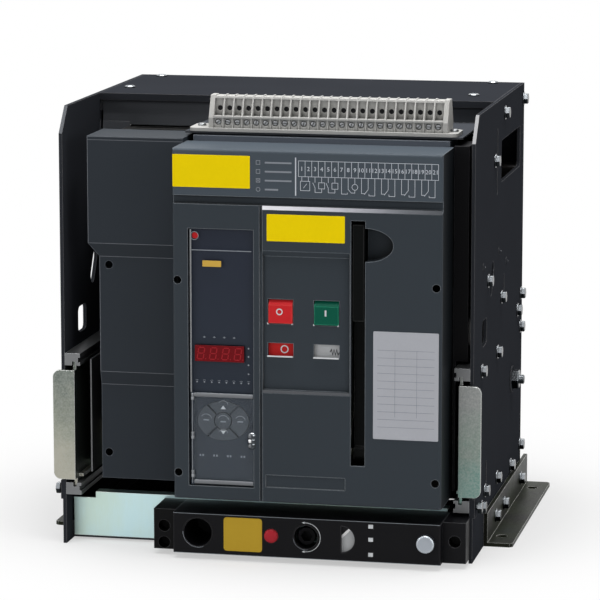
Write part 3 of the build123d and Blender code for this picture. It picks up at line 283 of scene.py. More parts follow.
def powderCoat(name):  # satin coat over steel: orange peel, and paler edges that are partly wear and partly a painted highlight
    shade = coats[name]
    paint = Paint(name, specularIORLevel=0.0)
    soft = paint.rounded(0.9)
    peel = paint.noise(1.1, 2.0)
    blotch = paint.noise(90.0, 4.0)
    wearAndHighlight = paint.edge(soft) * (paint.noise(5.0, 5.0) * 0.8 + 0.2)
    tone = paint.mix(blotch * 0.6, shade, scaled(shade, 1.3))
    paint.set(baseColor=paint.mix(wearAndHighlight.held(), tone, (0.14, 0.14, 0.145)),
              roughness=blotch * 0.12 + 0.42, normal=paint.bump(peel, 0.3, 0.08, soft))
    return paint


zincs = {  # how metallic it looks, and the colours of its bloom
    "zincPale": (1.0, (0.45, 0.64, 0.68), (0.52, 0.70, 0.72), (0.52, 0.66, 0.60)),
    "zincPlate": (1.0, (0.17, 0.21, 0.20), (0.24, 0.27, 0.22), (0.34, 0.33, 0.25), (0.26, 0.21, 0.17)),
    "zincDark": (0.0, (0.004, 0.006, 0.0065), (0.012, 0.015, 0.007), (0.006, 0.005, 0.005)),
}


def zincPlate(name):  # passivated zinc: a slow bloom between the colours over faint brushing
    metal, *colours = zincs[name]
    paint = Paint(name, metallic=metal, specularIORLevel=0.1)
    soft = paint.rounded(0.6)
    bloom = paint.noise(70.0, 3.0, (1.0, 1.0, 0.5), 0.6)
    brushed = paint.noise(0.7, 4.0, (1.0, 0.06, 0.06))
    stops = zip(np.linspace(0.34, 0.7, len(colours)).tolist(), colours)
    colour = paint.ramp(bloom + brushed * 0.12, *stops)
    spangle = paint.node("TexVoronoi", {}, {"Vector": paint.place, "Scale": 260.0}, "Distance")
    # pale edges: a painted highlight
    paint.set(baseColor=paint.mix((paint.edge(soft) * 0.5).held(), colour, (0.75, 0.75, 0.72)),
              roughness=brushed * 0.16 + spangle * 0.06 + 0.3,
              normal=paint.bump(brushed, 0.18, 0.05, soft))
    return paint


def railZinc():  # passivated zinc whose bloom shifts from bottom to top, another way on each side
    paint = Paint("railZinc", metallic=1.0)
    soft = paint.rounded(0.7)
    blotch = paint.noise(22.0, 5.0, roughness=0.65)
    brushed = paint.noise(0.8, 4.0, (1.0, 1.0, 0.08))
    speckle = paint.noise(1.6, 3.0)
    height = paint.rise("Z", 66.0, 176.0) + (blotch - 0.5) * 0.9
    left = paint.ramp(height, (0.1, (0.36, 0.35, 0.29)), (0.45, (0.25, 0.265, 0.215)),
                      (0.9, (0.125, 0.148, 0.13)))
    right = paint.ramp(height, (0.1, (0.12, 0.225, 0.20)), (0.45, (0.165, 0.215, 0.19)),
                       (0.9, (0.21, 0.22, 0.22)))
    colour = paint.mix(paint.axis("X") > 0.0, left, right)
    # faces turned to the side are painted dark: painted shade
    shadedSides = paint.facing("X").sum("ABSOLUTE") > 0.8
    colour = paint.mix(shadedSides, colour, (0.012, 0.03, 0.026))
    colour = paint.mix((speckle - 0.5) * 0.9 + 0.2, colour, (0.42, 0.43, 0.40))
    # pale edges: a painted highlight
    paint.set(baseColor=paint.mix((paint.edge(soft) * 0.6).held(), colour, (0.8, 0.82, 0.80)),
              roughness=brushed * 0.2 + 0.3, normal=paint.bump(brushed, 0.2, 0.05, soft))
    return paint


metals = {  # colour, roughness, and how the tool marks are stretched
    "drawnAluminium": ((0.19, 0.195, 0.20), 0.42, (1.0, 0.04, 1.0)),
    "satinBar": ((0.17, 0.178, 0.19), 0.42, (0.04, 1.0, 1.0)),
    "screwZinc": ((0.30, 0.31, 0.32), 0.25, (1.0, 1.0, 1.0)),
    "plungerSteel": ((0.36, 0.39, 0.43), 0.3, (1.0, 1.0, 1.0)),
    "chrome": ((0.85, 0.85, 0.86), 0.16, (1.0, 1.0, 1.0)),
    # nearly black steel: painted shade for the shaft, racking screw and spring, which sit deep in shadow
    "shaftSteel": ((0.006, 0.006, 0.0065), 0.32, (0.05, 1.0, 1.0)),
    "bearingBrass": ((0.62, 0.46, 0.2), 0.3, (1.0, 0.05, 1.0)),
    "platedCopper": ((0.72, 0.69, 0.65), 0.32, (1.0, 0.05, 1.0)),
}


def turnedMetal(name):  # bright metal with fine tool marks along one direction, and a painted highlight on its edges
    base, rough, stretch = metals[name]
    paint = Paint(name, metallic=1.0)
    soft = paint.rounded(0.5)
    marks = paint.noise(0.5, 4.0, stretch)
    haze = paint.noise(25.0, 4.0)
    tone = paint.mix(haze * 0.8, base, scaled(base, 0.72))
    bright = tuple(min(part, 0.9) for part in scaled(base, 2.2))
    paint.set(baseColor=paint.mix((paint.edge(soft) * 0.7).held(), tone, bright),
              roughness=marks * 0.16 + haze * 0.1 + rough - 0.1,
              normal=paint.bump(marks, 0.2, 0.04, soft))
    return paint


def boltZinc():  # zinc plated heads with painted light and shade: facets that face up or forward are painted bright, the rest dark
    paint = Paint("boltSteel", metallic=1.0)
    marks = paint.noise(0.5, 4.0)
    lit = paint.facing("Z") + paint.facing("Y") * -0.5 + (marks - 0.5) * 0.4
    tone = paint.ramp(lit, (0.15, (0.015, 0.018, 0.02)), (0.5, (0.06, 0.068, 0.075)),
                      (0.95, (0.30, 0.32, 0.34)))
    paint.set(baseColor=tone, roughness=marks * 0.16 + 0.16,
              normal=paint.bump(marks, 0.2, 0.04, paint.rounded(0.5)))
    return paint


def smokedFace():  # controller face: smooth dark blue, a little lighter towards the bottom
    paint = Paint("smokedFace", specularIORLevel=0.15)
    haze = paint.noise(45.0, 3.0)
    tone = paint.mix(paint.rise("Z", 70.0, 330.0), (0.020, 0.028, 0.040), (0.015, 0.019, 0.033))
    paint.set(baseColor=paint.mix(haze * 0.3, tone, (0.023, 0.032, 0.044)), roughness=haze * 0.12 + 0.3,
              normal=paint.bump(paint.noise(0.8, 2.0), 0.08, 0.03, paint.rounded(0.4)))
    return paint


def clearDoor():  # clear moulding, seen by its faint haze and gloss
    paint = Paint("clearDoor", specularIORLevel=0.25, baseColor=(0.30, 0.34, 0.38))
    flow = paint.noise(14.0, 3.0, (1.0, 1.0, 0.3))
    soft = paint.rounded(0.4)
    paint.set(roughness=flow * 0.1 + 0.12, alpha=flow * 0.04 + 0.04 + paint.edge(soft) * 0.25,
              normal=paint.bump(flow, 0.05, 0.1, soft))
    return paint


# colours of print and labels, and also of painted highlights on edges and rims and the painted shade in
# holes
inks = {
    "labelYellow": (0.86, 0.64, 0.0), "labelOchre": (0.50, 0.325, 0.03), "labelOrange": (0.60, 0.38, 0.07),
    "plateSilver": (0.41, 0.42, 0.455), "inkWhite": (0.62, 0.64, 0.66), "inkGrey": (0.24, 0.26, 0.29),
    "inkChart": (0.56, 0.59, 0.64), "inkBlack": (0.02, 0.02, 0.022), "keyInk": (0.62, 0.66, 0.70),
    "keyDim": (0.26, 0.29, 0.32), "arcInk": (0.30, 0.33, 0.36), "glint": (0.15, 0.158, 0.175),
    "cutBright": (0.34, 0.34, 0.35), "cutDim": (0.10, 0.105, 0.115), "rimGrey": (0.012, 0.012, 0.013),
    "displayRed": (0.15, 0.006, 0.009), "displayLit": (0.30, 0.016, 0.022),
    "pointerWhite": (0.92, 0.92, 0.93), "flagWhite": (0.46, 0.47, 0.48), "flagRed": (0.50, 0.02, 0.02),
}
smoother = {"plateSilver": 0.4, "glint": 0.35, "cutBright": 0.4, "cutDim": 0.4, "rimGrey": 0.3,
            "displayRed": 0.25, "displayLit": 0.3}  # roughness, where it isn't the usual 0.45


def printed(name):  # printed film and ink, and thin strips of painted highlight and painted shade, with slight mottling
    base, rough = inks[name], smoother.get(name, 0.45)
    paint = Paint(name, specularIORLevel=0.06)
    mottle = paint.noise(3.0, 4.0)
    haze = paint.noise(26.0, 3.0)
    tone = paint.mix(mottle * 0.35 + haze * 0.35, base, scaled(base, 0.86))
    paint.set(baseColor=tone, roughness=mottle * 0.16 + rough - 0.08,
              normal=paint.bump(mottle, 0.06, 0.03))
    return paint


def bevelShine():  # painted reflection on the satin bevel over the panel: bright at its left end, fading to the right
    paint = Paint("bevelShine", specularIORLevel=0.3)
    along = paint.rise("X", 7.0, 182.0) + (paint.noise(12.0, 3.0) - 0.5) * 0.12
    paint.set(baseColor=paint.ramp(along, (0.0, (0.85, 0.85, 0.90)), (0.4, (0.58, 0.58, 0.64)),
                                   (0.75, (0.17, 0.18, 0.20)), (1.0, (0.07, 0.075, 0.085))),
              roughness=paint.noise(4.0) * 0.1 + 0.35)
    return paint


kinds = ((mouldedPlastic, finishes), (powderCoat, coats), (zincPlate, zincs), (turnedMetal, metals),
         (printed, inks))
paints = {name: make(name) for make, names in kinds for name in names}
paints.update(railZinc=railZinc(), boltSteel=boltZinc(), smokedFace=smokedFace(), clearDoor=clearDoor(),
              bevelShine=bevelShine())
print("materials made:", len(paints))

nodePaints = {
    "powderCoat": "side_plate_left side_plate_right top_plate rear_panel base_tray",
    "powderPale": "upper_panel",
    "plinthGrey": "terminal_plinth",
    "zincPale": "cross_member",
    "railZinc": "rail_left rail_right",
    "zincPlate": "side_brackets",
    "zincDark": "foot_left foot_right carriage_bar mechanism_frame",
    "drawnAluminium": "guides_left guides_right",
    "boltSteel": "frame_bolts contact_links",
    "plungerSteel": "padlock_plunger",
    "shaftSteel": "main_shaft racking_screw closing_spring",
    "bearingBrass": "screw_bearings carriage_nut",
    "platedCopper": "rear_terminals contact_stabs contact_fingers moving_contacts",
    "coverGrey": "front_cover",
    "neutralGrey": "neutral_cover",
    "plugGrey": "secondary_plug",
    "mouldingBrown": "contact_base breaker_base shutter_guides",
    "insulationDark": "shutter_upper shutter_lower current_transformers",
    "chuteBlack": "arc_chutes",
    "panelBlack": "racking_panel racking_end_right charging_motor right_cover",
    "endBlack": "racking_end_left",
    "terminalGrey": "terminal_block",
    "smokedFace": "controller",
    "clearDoor": "controller_door",
    "handleBlack": "charging_handle",
    "keyGrey": "key_up key_down key_left key_right key_enter",
    "offRed": "off_button reset_button",
    "releaseRed": "lock_release_button",
    "onGreen": "on_button",
    "flagRed": "contact_flag",
    "flagWhite": "charge_flag position_indicator",
}
for name, members in nodePaints.items():
    for member in members.split():
        mesh = nodes[member].data
        mesh.materials.clear()
        mesh.materials.append(paints[name].material)
print("CAD nodes painted:", len(" ".join(nodePaints.values()).split()))


# Shapes, worked out in millimetres as arrays of points

ink = 0.12  # how far print and labels stand out


def tube(rings):  # closed skin through equal rings of points, one after another, with a face over each end
    rings = np.asarray(rings, float)
    count, points = rings.shape[:2]
    start = np.arange(count - 1)[:, None] * points
    here, following = np.arange(points), (np.arange(points) + 1) % points
    corners = [start + here, start + following, start + points + following, start + points + here]
    last = (count - 1) * points
    ends = [list(range(points)), list(range(last, last + points))]
    return rings.reshape(-1, 3), np.stack(corners, -1).reshape(-1, 4).tolist() + ends


def loop(count, start=0.0, end=360.0, whole=True):  # angles in radians, evenly spaced
    return np.radians(np.linspace(start, end, count, endpoint=not whole))


def arc(x, z, radius, start, end, count=20, whole=False):  # centre plus radius times (cosine, sine)
    angle = loop(count, start, end, whole)
    return np.column_stack([x + radius * np.cos(angle), z + radius * np.sin(angle)])


def disc(x, z, radius, count=32):
    return arc(x, z, radius, 0, 360, count, True)


def card(x0, x1, z0, z1, radius=0.0, steps=5):  # rectangle whose corners are quarter circles
    if radius == 0:
        return np.array([(x0, z0), (x1, z0), (x1, z1), (x0, z1)], float)
    middles = [(x1 - radius, z1 - radius, 0), (x0 + radius, z1 - radius, 90),
               (x0 + radius, z0 + radius, 180), (x1 - radius, z0 + radius, 270)]
    return np.concatenate([arc(x, z, radius, turn, turn + 90, steps) for x, z, turn in middles])


def upright(outline, y):  # outline of (x, z) stood up at depth y
    return np.column_stack([outline[:, 0], np.full(len(outline), y), outline[:, 1]])


def across(outline, x):  # outline of (y, z) set at x
    return np.column_stack([np.full(len(outline), x), outline[:, 0], outline[:, 1]])


def slab(outline, front, back, edge=0.0):  # outline of (x, z) carried along y, its front edge sloped
    middle = (outline.max(0) + outline.min(0)) / 2
    half = (outline.max(0) - outline.min(0)) / 2
    rings = [upright(outline, back), upright(outline, front + edge)]
    if edge:
        rings.append(upright(middle + (outline - middle) * (1 - edge / half), front))
    return tube(rings)


def patch(outline, front):  # print that fills an outline
    return slab(outline, front, front + 0.2)


def bar(outline, x0, x1):  # outline of (y, z) carried along x
    outline = np.asarray(outline, float)
    return tube([across(outline, x0), across(outline, x1)])


def well(outline, x, z, radius, front, back, depth):  # block with a round blind hole in its front
    hole = disc(x, z, radius, len(outline))
    return tube([upright(outline, back), upright(outline, front), upright(hole, front),
                 upright(hole, front + depth)])


def frameOutline(x0, x1, z0, z1, x, z, count=24):  # points on a rectangle, one for each angle seen from x, z
    angle = loop(count)
    along, up = np.cos(angle), np.sin(angle)
    toSide = np.where(along > 0, x1 - x, x - x0) / np.maximum(abs(along), 1e-6)
    toEnd = np.where(up > 0, z1 - z, z - z0) / np.maximum(abs(up), 1e-6)
    reach = np.minimum(toSide, toEnd)
    return np.column_stack([x + reach * along, z + reach * up])


turned = {"-y": (0, 2, 1, -1), "z": (0, 1, 2, 1), "x": (1, 2, 0, 1), "-x": (1, 2, 0, -1)}


def spun(profile, place, axis="-y", count=24, corners=None):  # (radius, height) turned about an axis
    profile = np.asarray(profile, float)
    angle = loop(count)
    reach = profile[:, 0][:, None] * (np.ones(count) if corners is None else corners(angle))
    first, second, along, way = turned[axis]
    points = np.zeros((len(profile), count, 3))
    points[..., first] = place[first] + reach * np.cos(angle)
    points[..., second] = place[second] + reach * np.sin(angle)
    points[..., along] = place[along] + way * profile[:, 1][:, None]
    return tube(points)


def hexagon(angle):  # how much further a hexagon reaches than its flats, at each angle
    return 1 / np.cos(np.mod(angle, math.pi / 3) - math.pi / 6)


def line(points, width, front, depth=None, closed=False):  # flat strip of one width along (x, z) points
    points = np.asarray(points, float)
    steps = np.diff(points, axis=0, append=points[:1])
    ways = steps / np.maximum(np.linalg.norm(steps, axis=1, keepdims=True), 1e-9)
    before = np.roll(ways, 1, axis=0)
    if not closed:
        ways[-1], before[0] = ways[-2], ways[0]
    sides = np.column_stack([-(ways + before)[:, 1], (ways + before)[:, 0]])
    sides /= np.linalg.norm(sides, axis=1, keepdims=True)
    mitre = np.maximum(abs(np.sum(sides * np.column_stack([-ways[:, 1], ways[:, 0]]), axis=1)), 0.4)
    offset = sides * (width / 2 / mitre)[:, None]
    back = front + (depth or 2 * ink)
    corners = [upright(points + offset, back), upright(points + offset, front),
               upright(points - offset, front), upright(points - offset, back)]
    rings = np.stack(corners, 1)
    if not closed:
        return tube(rings)
    verts, faces = tube(np.concatenate([rings, rings[:1]]))
    return verts, faces[:-2]


def figures(text, height, x, z, front):  # plain figures as a mesh, centred on x, z
    curve = bpy.data.curves.new(text, "FONT")
    curve.body = text
    curve.resolution_u = 2
    curve.extrude = 0.5
    holder = bpy.data.objects.new(text, curve)
    flat = bpy.data.meshes.new_from_object(holder)
    verts = np.zeros(len(flat.vertices) * 3)
    flat.vertices.foreach_get("co", verts)
    verts = verts.reshape(-1, 3)
    faces = [list(face.vertices) for face in flat.polygons]
    bpy.data.objects.remove(holder)
    bpy.data.meshes.remove(flat)
    middle = (verts.max(0) + verts.min(0)) / 2
    scale = height / (verts.max(0) - verts.min(0))[1]
    wide, up, out = ((verts - middle) * scale).T
    out = np.where(out > 0, front, front + 2 * ink)
    return np.column_stack([x + wide, out, z + up]), faces


def piece(name, paint, body, shapes, smooth=0.0, replaces=None):  # joins shapes to one object
    verts, faces, count = [], [], 0
    for points, corners in shapes:
        verts.append(points)
        faces += [[corner + count for corner in face] for face in corners]
        count += len(points)
    mesh = bpy.data.meshes.new(name)
    mesh.from_pydata(np.concatenate(verts) * mm, [], faces)
    work = bmesh.new()
    work.from_mesh(mesh)
    bmesh.ops.remove_doubles(work, verts=work.verts, dist=1e-7)
    bmesh.ops.recalc_face_normals(work, faces=work.faces)
    work.to_mesh(mesh)
    work.free()
    if smooth:
        mesh.shade_smooth()
        mesh.set_sharp_from_angle(angle=math.radians(smooth))
    mesh.materials.append(paints[paint].material)
    made = placed(name, mesh)
    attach(made, body)
    if replaces:
        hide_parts(replaces)


# Terminal strip on top: a row of ways between thin walls, a screw under each

strip = {"ways": 24, "pitch": 9.43, "left": 19.0, "cheek": 4.8, "lip": 3.5, "wall": 1.5, "ledge": 13.0,
         "holeRadius": 2.5, "screwRadius": 2.5, "screwHeight": 5.6}


def terminalStrip():
    low, high = span("terminal_block")
    pitch, cheek, wall = strip["pitch"], strip["cheek"], strip["wall"]
    first = low[0] + strip["left"] + cheek
    last = first + strip["ways"] * pitch
    seat, top, front, back = low[2] + strip["lip"], high[2], low[1] + 4, high[1] - 2
    ledge, middle = low[2] + strip["ledge"], (low[1] + high[1]) / 2
    lid, screwZ, holeZ, radius = ledge + 1.9, seat + strip["screwHeight"], ledge + 9.0, strip["screwRadius"]
    side = np.array([(front, seat), (front, ledge), (front + 10, top), (front + 24, top),
                     (back, ledge), (back, seat)])
    base = card(low[0], high[0], low[1], high[1], 6.0)
    grey = [tube([np.column_stack([base, np.full(len(base), z)]) for z in (low[2], seat)]),
            bar(side, first - cheek, first), bar(side, last, last + cheek)]
    grey += [bar(side, x - wall / 2, x + wall / 2) for x in first + np.arange(1, strip["ways"]) * pitch]
    dark, steel, slots = [], [], []
    for i in range(strip["ways"]):
        x0, x, x1 = first + np.array([i, i + 0.5, i + 1]) * pitch
        lower = frameOutline(x0, x1, seat, ledge, x, screwZ)
        upper = frameOutline(x0, x1, lid, top - 1.2, x, holeZ)
        grey += [well(lower, x, screwZ, radius + 0.7, front + 0.9, middle, 1.6),
                 well(upper, x, holeZ, strip["holeRadius"], front + 9.6, back - 8, 6.0),
                 bar([(front - 0.4, ledge - 0.2), (front - 0.4, lid), (middle, lid), (middle, ledge - 0.2)],
                     x0, x1),
                 bar([(front + 8.6, top - 3.2), (front + 9.4, top - 0.9), (front + 24, top - 0.9),
                      (back - 3, ledge + 2), (front + 12, ledge + 2), (front + 10.4, top - 3.2)], x0, x1)]
        # a dark disc in each hole: painted shade
        dark.append(slab(disc(x, holeZ, strip["holeRadius"] - 0.05, 16), front + 10.2, front + 11.4))
        profile = [(radius, 0), (radius, 1.0), (radius * 0.8, 1.5)]
        steel.append(spun(profile, (x, front + 2.5, screwZ), "-y", 20))
        tilt = math.radians(35 + 47 * math.sin(5.1 * i))
        reach = np.array([math.cos(tilt), math.sin(tilt)]) * radius * 0.82
        slots.append(line([(x, screwZ) - reach, (x, screwZ) + reach], 0.7, front + 0.95))
    for x in (low[0] + 9, high[0] - 6):
        profile = [(4.2, 0), (4.2, 1.2), (3.6, 2.2), (2.2, 2.8)]
        steel.append(spun(profile, (x, middle, seat), "z"))
    piece("terminalStrip", "terminalGrey", "cradle", grey, replaces="terminal_block")
    piece("terminalScrews", "screwZinc", "cradle", steel, smooth=30)
    piece("terminalShade", "inkBlack", "cradle", dark + slots)


terminalStrip()
print("terminal strip made")


# Fasteners: each solid of the CAD node gives the place, side and size of one

fastener = {"washer": 1.35, "washerHeight": 1.1}  # a washer's radius against its head's, and its height


def islands(node):  # the box of each loose solid in a node, in millimetres
    work = bmesh.new()
    work.from_mesh(nodes[node].data)
    bmesh.ops.remove_doubles(work, verts=work.verts, dist=1e-6)
    left, boxes = set(work.verts), []
    while left:
        group, edge = set(), [left.pop()]
        while edge:
            vertex = edge.pop()
            group.add(vertex)
            near = {link.other_vert(vertex) for link in vertex.link_edges} & left
            left -= near
            edge += near
        places = np.array([vertex.co for vertex in group]) / mm
        boxes.append((places.min(0), places.max(0)))
    work.free()
    return boxes


def boltHead(place, axis, radius, height):  # washer, then a hexagon whose top is chamfered
    washer, rise = radius * fastener["washer"], fastener["washerHeight"]
    top = height + rise
    disk = [(washer - 0.2, 0), (washer, 0.3), (washer, rise - 0.3), (washer - 0.2, rise)]
    head = [(radius, rise - 0.2), (radius, top - 0.8), (radius * 0.93, top)]
    return [spun(disk, place, axis), spun(head, place, axis, 24, hexagon)]


def fasteners():
    heads, rivets = [], []
    for low, high in islands("frame_bolts"):
        middle, size = (low + high) / 2, high - low
        if size[2] < 4:  # cheese head screw on top
            radius = size[0] / 2
            profile = [(radius, 0), (radius, 1.2), (radius * 0.8, 2.1), (radius * 0.45, 2.2),
                       (radius * 0.4, 1.0)]
            heads.append(spun(profile, (middle[0], middle[1], low[2]), "z"))
            continue
        axis = "x" if middle[0] > 0 else "-x"
        place = np.array([low[0] if middle[0] > 0 else high[0], middle[1], middle[2]])
        radius = min(size[1:]) / 2
        if size[0] < 2:  # rivet with a domed head
            angle = loop(6, 0, 80, False)
            dome = np.column_stack([size[1] / 2 * np.cos(angle), 1.9 * np.sin(angle)])
            rivets.append(spun(dome, place, axis))
            # a small bright cap on the dome: painted highlight
            heads.append(spun([(1.0, 1.5), (0.7, 2.0)], place, axis, 12))
        elif size[0] < 6:
            heads += boltHead(place, axis, radius, size[0])
        elif size[2] < 14:  # stop bolt: a neck, then the head
            heads.append(spun([(radius / 2, 0), (radius / 2, 2.4)], place, axis))
            heads.append(spun([(radius, 2.2), (radius, size[0] - 0.6), (radius * 0.93, size[0])],
                              place, axis, 24, hexagon))
        else:  # pivot nut over a painted washer, on its stud with a few turns of thread
            rivets.append(spun([(13.6, 0), (14, 0.4), (14, 1.2), (13.6, 1.6)], place, axis, 32))
            nut = [(9, 1.4), (9, 7.6), (8.2, 8.6)]
            heads.append(spun(nut, place, axis, 24, hexagon))
            turns = np.arange(9)
            thread = np.column_stack([4.6 + 0.4 * (turns % 2), 8.2 + turns * 0.6])
            heads.append(spun([*thread, (3.8, 13.6)], place, axis))
    piece("frameFasteners", "boltSteel", "cradle", heads, smooth=28, replaces="frame_bolts")
    piece("paintedRivets", "powderCoat", "cradle", rivets, smooth=40)


fasteners()
print("fasteners made")


# Print and labels on the front cover

label = {"upper": (-80.6, -4.6, 368.0, 399.4), "lower": (11.7, 87.8, 318.0, 344.0),
         "rating": (115.7, 179.1, 129.4, 234.2), "thickness": 0.25}
chart = {"left": 42.8, "right": 177.6, "low": 381.0, "high": 396.0, "cells": 21, "pen": 0.44,
         "figure": 4.0, "ruler": 40.0}
legend = {"rows": ("box", "box", "cross", "ring"), "x": 3.4, "top": 393.4, "pitch": 8.6, "half": 1.8,
          "bars": 10.0}


def labels():
    thick = label["thickness"]
    for name, paint in (("upper", "labelYellow"), ("lower", "labelYellow"), ("rating", "plateSilver")):
        face = coverFace + pocket if name == "lower" else coverFace
        corner = 1.2 if name == "rating" else 0.6
        shape = slab(card(*label[name], corner), face - thick, face + 0.05, 0.12)
        piece(name + "Label", paint, "breaker", [shape])
    left, right, low, high = label["rating"]
    pen, front = 0.35, coverFace - thick - 0.06
    rules = [line([(left + 4, z), (right - 4, z)], pen, front) for z in np.linspace(high - 18, low + 12, 11)]
    rules += [line([(x, high - 18), (x, low + 22)], pen, front)
              for x in ((left * 2 + right) / 3, (left + right * 2) / 3)]
    piece("ratingRules", "inkGrey", "breaker", rules)


def chartLines():  # numbered cells, and plain coil, contact and motor symbols hanging from their edge
    left, right, low, high = (chart[key] for key in ("left", "right", "low", "high"))
    face, step, tall = coverFace - ink, (right - left) / chart["cells"], high - low
    centre = left + (np.arange(chart["cells"]) + 0.5) * step
    lines = [[(left + i * step, 0), (left + i * step, tall)] for i in range(1, chart["cells"])]
    x, far = centre[:2]
    loops = [card(left, right, 0, tall), card(x - 1.3, far + 1.3, -13.4, -4.4)]
    lines += [[(x, 0), (x, -4.4)], [(far, 0), (far, -4.4)], [(x + 1.6, -11), (far - 1.6, -6.8)]]
    for x, far in (centre[2:4], centre[4:6]):
        loops.append(card(far - 2.9, far + 2.9, -11.2, -5.4))
        lines += [[(x, 0), (x, -5.4)], [(far, 0), (far, -5.4)],
                  [(x - 2.2, -5.6), (x, -10.4), (x, -14.8), (far, -14.8), (far, -11.2)]]
    x, middle, far = centre[6:9]
    loops.append(disc(far, -8.8, 2.8, 20))
    lines += [[(x, 0), (x, -15.6), (x + 5.6, -15.6), (x + 5.6, -14.2)], [(far, 0), (far, -6)],
              [(middle, 0), (middle, -11), (middle + 3, -14.4), (far, -14.4), (far, -11.6)]]
    for first in range(9, chart["cells"], 3):
        x, middle, far = centre[first:first + 3]
        lines += [[(x, 0), (x, -14.6), (x + 3.4, -14.6)],
                  [(middle, 0), (middle, -10.6), (middle - 3.8, -15.6)],
                  [(middle + 0.8, -15), (middle + 0.8, -16.6), (far, -16.6), (far, 0)]]
    shapes = [line(points + (0, low), chart["pen"], face, closed=True) for points in loops]
    shapes += [line(np.add(points, (0, low)), chart["pen"], face) for points in lines]
    shapes.append(line([(chart["ruler"], low - 18.5), (chart["ruler"], high + 3)], 1.1, face))
    piece("chartLines", "inkChart", "breaker", shapes)
    numbers = [figures(str(i + 1), chart["figure"], x, (low + high) / 2, face) for i, x in enumerate(centre)]
    piece("chartFigures", "inkChart", "breaker", numbers)


def legendMarks():  # a small sign and a plain bar in each row
    face, x, half, start = coverFace - ink, legend["x"], legend["half"], legend["bars"]
    keys = []
    for row, sign in enumerate(legend["rows"]):
        z = legend["top"] - row * legend["pitch"]
        ring = sign == "ring"
        outline = disc(x, z, half + 0.1, 16) if ring else card(x - half, x + half, z - half, z + half)
        keys.append(line(outline, 0.55, face, closed=True))
        if sign == "cross":
            keys += [line([(x - half, z - half * way), (x + half, z + half * way)], 0.5, face)
                     for way in (-1, 1)]
        keys.append(line([(start, z), (start + (13.0 if ring else 26.0), z)], 1.6, face))
    piece("legendMarks", "inkGrey", "breaker", keys)


labels()
chartLines()
legendMarks()
print("cover labels and chart made")


# Controller face: reset ring, header, display and marks

panel = {"strip": 1.3, "stripLow": 168.0, "header": 307.2, "tag": (-51.5, -33.1, 291.3, 297.2),
         "reset": (-59.4, 321.0), "display": (-59.7, -11.0, 198.5, 214.3), "digit": (6.0, 11.4),
         "slant": 0.9, "lampX": -6.4, "lamps": (212.6, 204.6, 196.4, 187.6), "ticks": (-53.1, -12.2)}
arcRows = (  # rows of lamps under arcs: first and last x, how many, height of arc and lamp, lamp's radius
    (-50.0, -20.5, 4, 220.6, 222.6, 0.85), (-57.4, -6.4, 8, 178.2, 178.4, 0.8))


def sevenStrokes(x, z, width, height):  # the seven strokes of a figure eight, leaning a little
    ends = np.array([((-1, 1), (1, 1)), ((-1, 0), (1, 0)), ((-1, -1), (1, -1)), ((-1, 1), (-1, 0)),
                     ((1, 1), (1, 0)), ((-1, 0), (-1, -1)), ((1, 0), (1, -1))]) * (width / 2, height / 2)
    ends[..., 0] += ends[..., 1] * panel["slant"] * 2 / height
    gap = (ends[:, 1] - ends[:, 0]) * 0.1
    return np.stack([ends[:, 0] + gap, ends[:, 1] - gap], 1) + (x, z)


def controllerFace():
    low, high = span("controller")
    face, left, right = low[1] - ink, low[0], high[0]
    ends = [(left + 2.1, panel["stripLow"]), (left + 2.1, high[2] - 0.6)]
    edge = line(ends, panel["strip"], face - 0.3, 0.5)
    piece("controllerStrip", "drawnAluminium", "breaker", [edge])
    marks = [line([(left + 3.2, panel["header"]), (right - 1.2, panel["header"])], 0.8, face)]
    marks.append(line(disc(*panel["reset"], 3.9, 28), 0.55, face, closed=True))
    for first, last, count, arcZ, lampZ, radius in arcRows:
        for x in np.linspace(first, last, count):
            marks.append(line(arc(x, arcZ, 2.2, 50, 130, 8), 0.3, face))
            marks.append(patch(disc(x, lampZ, radius, 12), face))
    marks += [patch(disc(panel["lampX"], z, 0.8, 12), face) for z in panel["lamps"]]
    for x in np.linspace(*panel["ticks"], 4):  # pairs of short marks under the door
        marks += [line([(x + shift, 107.0), (x + shift, 105.0)], 1.6, face) for shift in (-1.4, 1.4)]
    piece("controllerMarks", "inkGrey", "breaker", marks)
    tag = slab(card(*panel["tag"], 0.5), face - 0.1, face + 0.2)
    piece("ratingTag", "labelOrange", "breaker", [tag])
    x0, x1, z0, z1 = panel["display"]
    glass = low[1] + 0.7
    window = slab(card(x0, x1, z0, z1, 0.4), glass, glass + 0.75, 0.1)
    piece("displayGlass", "displayRed", "breaker", [window])
    width, height = panel["digit"]
    strokes = []
    for i in range(4):
        x = x0 + (i + 0.5) * (x1 - x0) / 4
        strokes += [line(s, 1.05, glass - 0.05) for s in sevenStrokes(x, (z0 + z1) / 2, width, height)]
        strokes.append(slab(disc(x + width / 2 + 1.7, z0 + 2.6, 0.6, 10), glass - 0.05, glass + 0.1))
    piece("displayStrokes", "displayLit", "breaker", strokes)


controllerFace()


# Door over the keys: bars, hinge knuckles and a sprung latch, which all swing with it

door = {"front": -254.75, "barHeight": 4.2, "barReach": 0.9, "hinge": (-62.3, -254.0), "pin": -256.2,
        "knuckles": (163.5, 125.0, 87.0), "latch": (-7.3, 0.7, 113.4, 130.0)}


